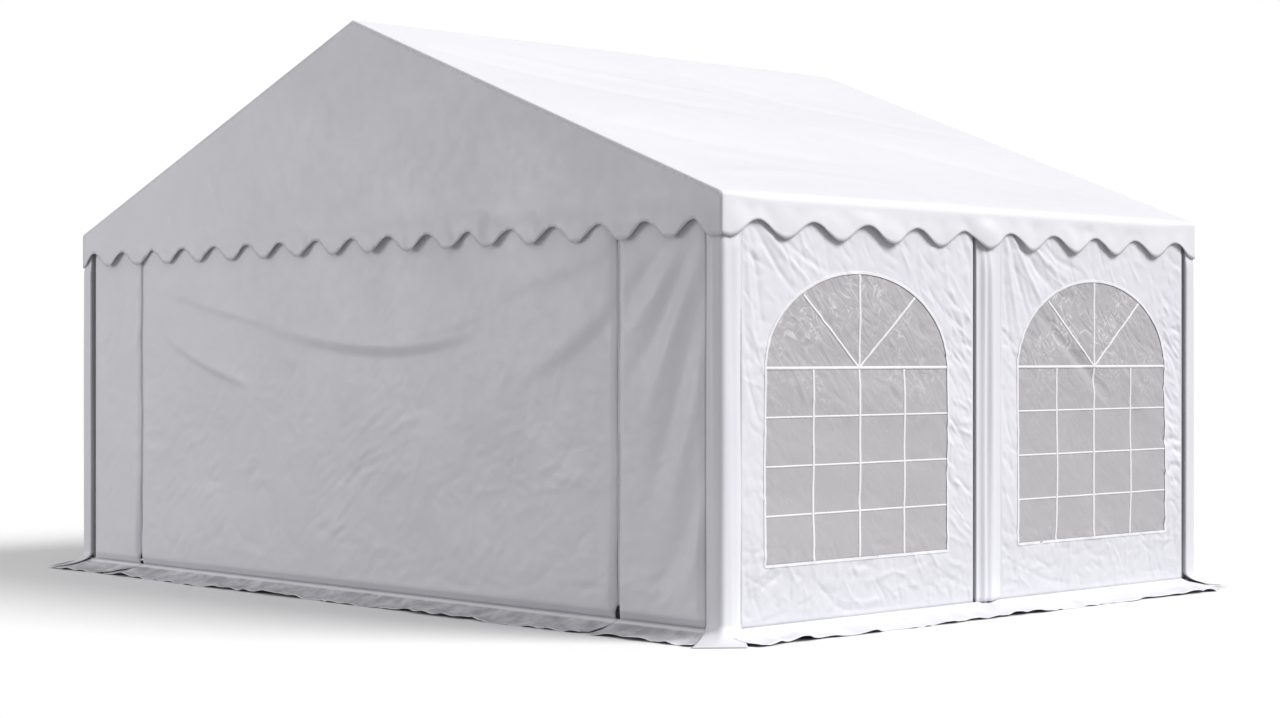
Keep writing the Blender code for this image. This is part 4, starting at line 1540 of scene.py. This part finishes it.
class MARQUEE_OT_stage(bpy.types.Operator):
    """Pale floor that fades out, soft light from high on the right and a camera at the corner of the tent"""

    bl_idname = "marquee.stage"
    bl_label = "Stage"

    def execute(self, context):
        self.add_floor()
        self.add_light()
        self.add_camera(context)
        context.scene.view_settings.view_transform = "Standard"
        return {"FINISHED"}

    def add_floor(self):
        bpy.ops.object.select_all(action="DESELECT")
        bpy.ops.mesh.primitive_circle_add(vertices=96, radius=14.0, fill_type="NGON")
        floor = bpy.context.active_object
        floor.name = "studio_floor"
        finish = Finish("finish_floor", tuple(settings().floor_colour), 0.9)
        place = finish.object_place()
        away = finish.node("ShaderNodeVectorMath", {"operation": "LENGTH"}, {0: place}, "Value")
        seen = finish.node("ShaderNodeLightPath", {}, {}, "Is Camera Ray")
        dim = tuple(part * FLOOR_BOUNCE for part in settings().floor_colour)
        finish.surface(
            Base_Color=finish.mix(seen, dim, tuple(settings().floor_colour)),
            Alpha=finish.clamped(away, 5.0, 9.5, 1.0, 0.0),
        )
        floor.data.materials.append(finish.material)

    def add_light(self):
        bpy.ops.object.select_all(action="DESELECT")
        bpy.ops.object.light_add(type="SUN")
        sun = bpy.context.active_object
        sun.name = "key_light"
        sun.rotation_euler = Vector(KEY_FROM).to_track_quat("Z", "Y").to_euler()
        sun.data.energy = 2.95
        sun.data.angle = math.radians(30.0)
        bpy.ops.object.light_add(type="AREA", location=FILL_PLACE)
        fill = bpy.context.active_object
        fill.name = "fill_light"
        fill.rotation_euler = (Vector(FILL_PLACE) - Vector(FILL_AIM)).to_track_quat("Z", "Y").to_euler()
        fill.data.shape = "DISK"
        fill.data.size = 5.0
        fill.data.energy = 255.0
        world = bpy.data.worlds.new("studio")
        bpy.context.scene.world = world
        world.use_nodes = True
        tree = world.node_tree
        backdrop = tree.nodes["Background"]
        backdrop.inputs["Color"].default_value = (1.0, 1.0, 1.0, 1.0)
        way = tree.nodes.new("ShaderNodeTexCoord")
        height = tree.nodes.new("ShaderNodeSeparateXYZ")
        light = tree.nodes.new("ShaderNodeMapRange")
        for socket, value in (("From Min", -0.02), ("From Max", 0.02), ("To Min", LOW_LIGHT), ("To Max", SKY_LIGHT)):
            light.inputs[socket].default_value = value
        seen = tree.nodes.new("ShaderNodeLightPath")
        level = tree.nodes.new("ShaderNodeMapRange")
        level.inputs["To Max"].default_value = 1.0
        tree.links.new(way.outputs["Generated"], height.inputs["Vector"])
        tree.links.new(height.outputs["Z"], light.inputs["Value"])
        tree.links.new(light.outputs["Result"], level.inputs["To Min"])
        tree.links.new(seen.outputs["Is Camera Ray"], level.inputs["Value"])
        tree.links.new(level.outputs["Result"], backdrop.inputs["Strength"])

    def add_camera(self, context):
        bpy.ops.object.camera_add(location=CAMERA_PLACE, rotation=(math.radians(90.0), 0.0, CAMERA_YAW))
        camera = bpy.context.active_object
        camera.data.lens = LENS
        camera.data.sensor_width = 36.0
        camera.data.shift_y = HORIZON_SHIFT
        camera.data.clip_end = 200.0
        context.scene.camera = camera


class MARQUEE_PT_panel(bpy.types.Panel):
    """Settings and pieces of the marquee tent"""

    bl_label = "Marquee tent"
    bl_idname = "MARQUEE_PT_panel"
    bl_space_type = "VIEW_3D"
    bl_region_type = "UI"
    bl_category = "Marquee"

    def draw(self, context):
        for name in MarqueeSettings.__annotations__:
            self.layout.prop(context.scene.marquee, name)
        for piece in OPERATORS:
            self.layout.operator(piece.bl_idname)


OPERATORS = (
    MARQUEE_OT_stage,
    MARQUEE_OT_roof,
    MARQUEE_OT_gables,
    MARQUEE_OT_gable_walls,
    MARQUEE_OT_zips,
    MARQUEE_OT_side_walls,
    MARQUEE_OT_windows,
    MARQUEE_OT_post_covers,
    MARQUEE_OT_skirts,
    MARQUEE_OT_frame,
    MARQUEE_OT_wing_screws,
)
CLASSES = (MarqueeSettings, *OPERATORS, MARQUEE_PT_panel)


def register():
    for item in CLASSES:
        bpy.utils.register_class(item)
    bpy.types.Scene.marquee = bpy.props.PointerProperty(type=MarqueeSettings)


def unregister():
    del bpy.types.Scene.marquee
    for item in reversed(CLASSES):
        bpy.utils.unregister_class(item)


def main():
    register()
    for piece in OPERATORS:
        group, name = piece.bl_idname.split(".")
        getattr(getattr(bpy.ops, group), name)()


if __name__ == "__main__":
    main()
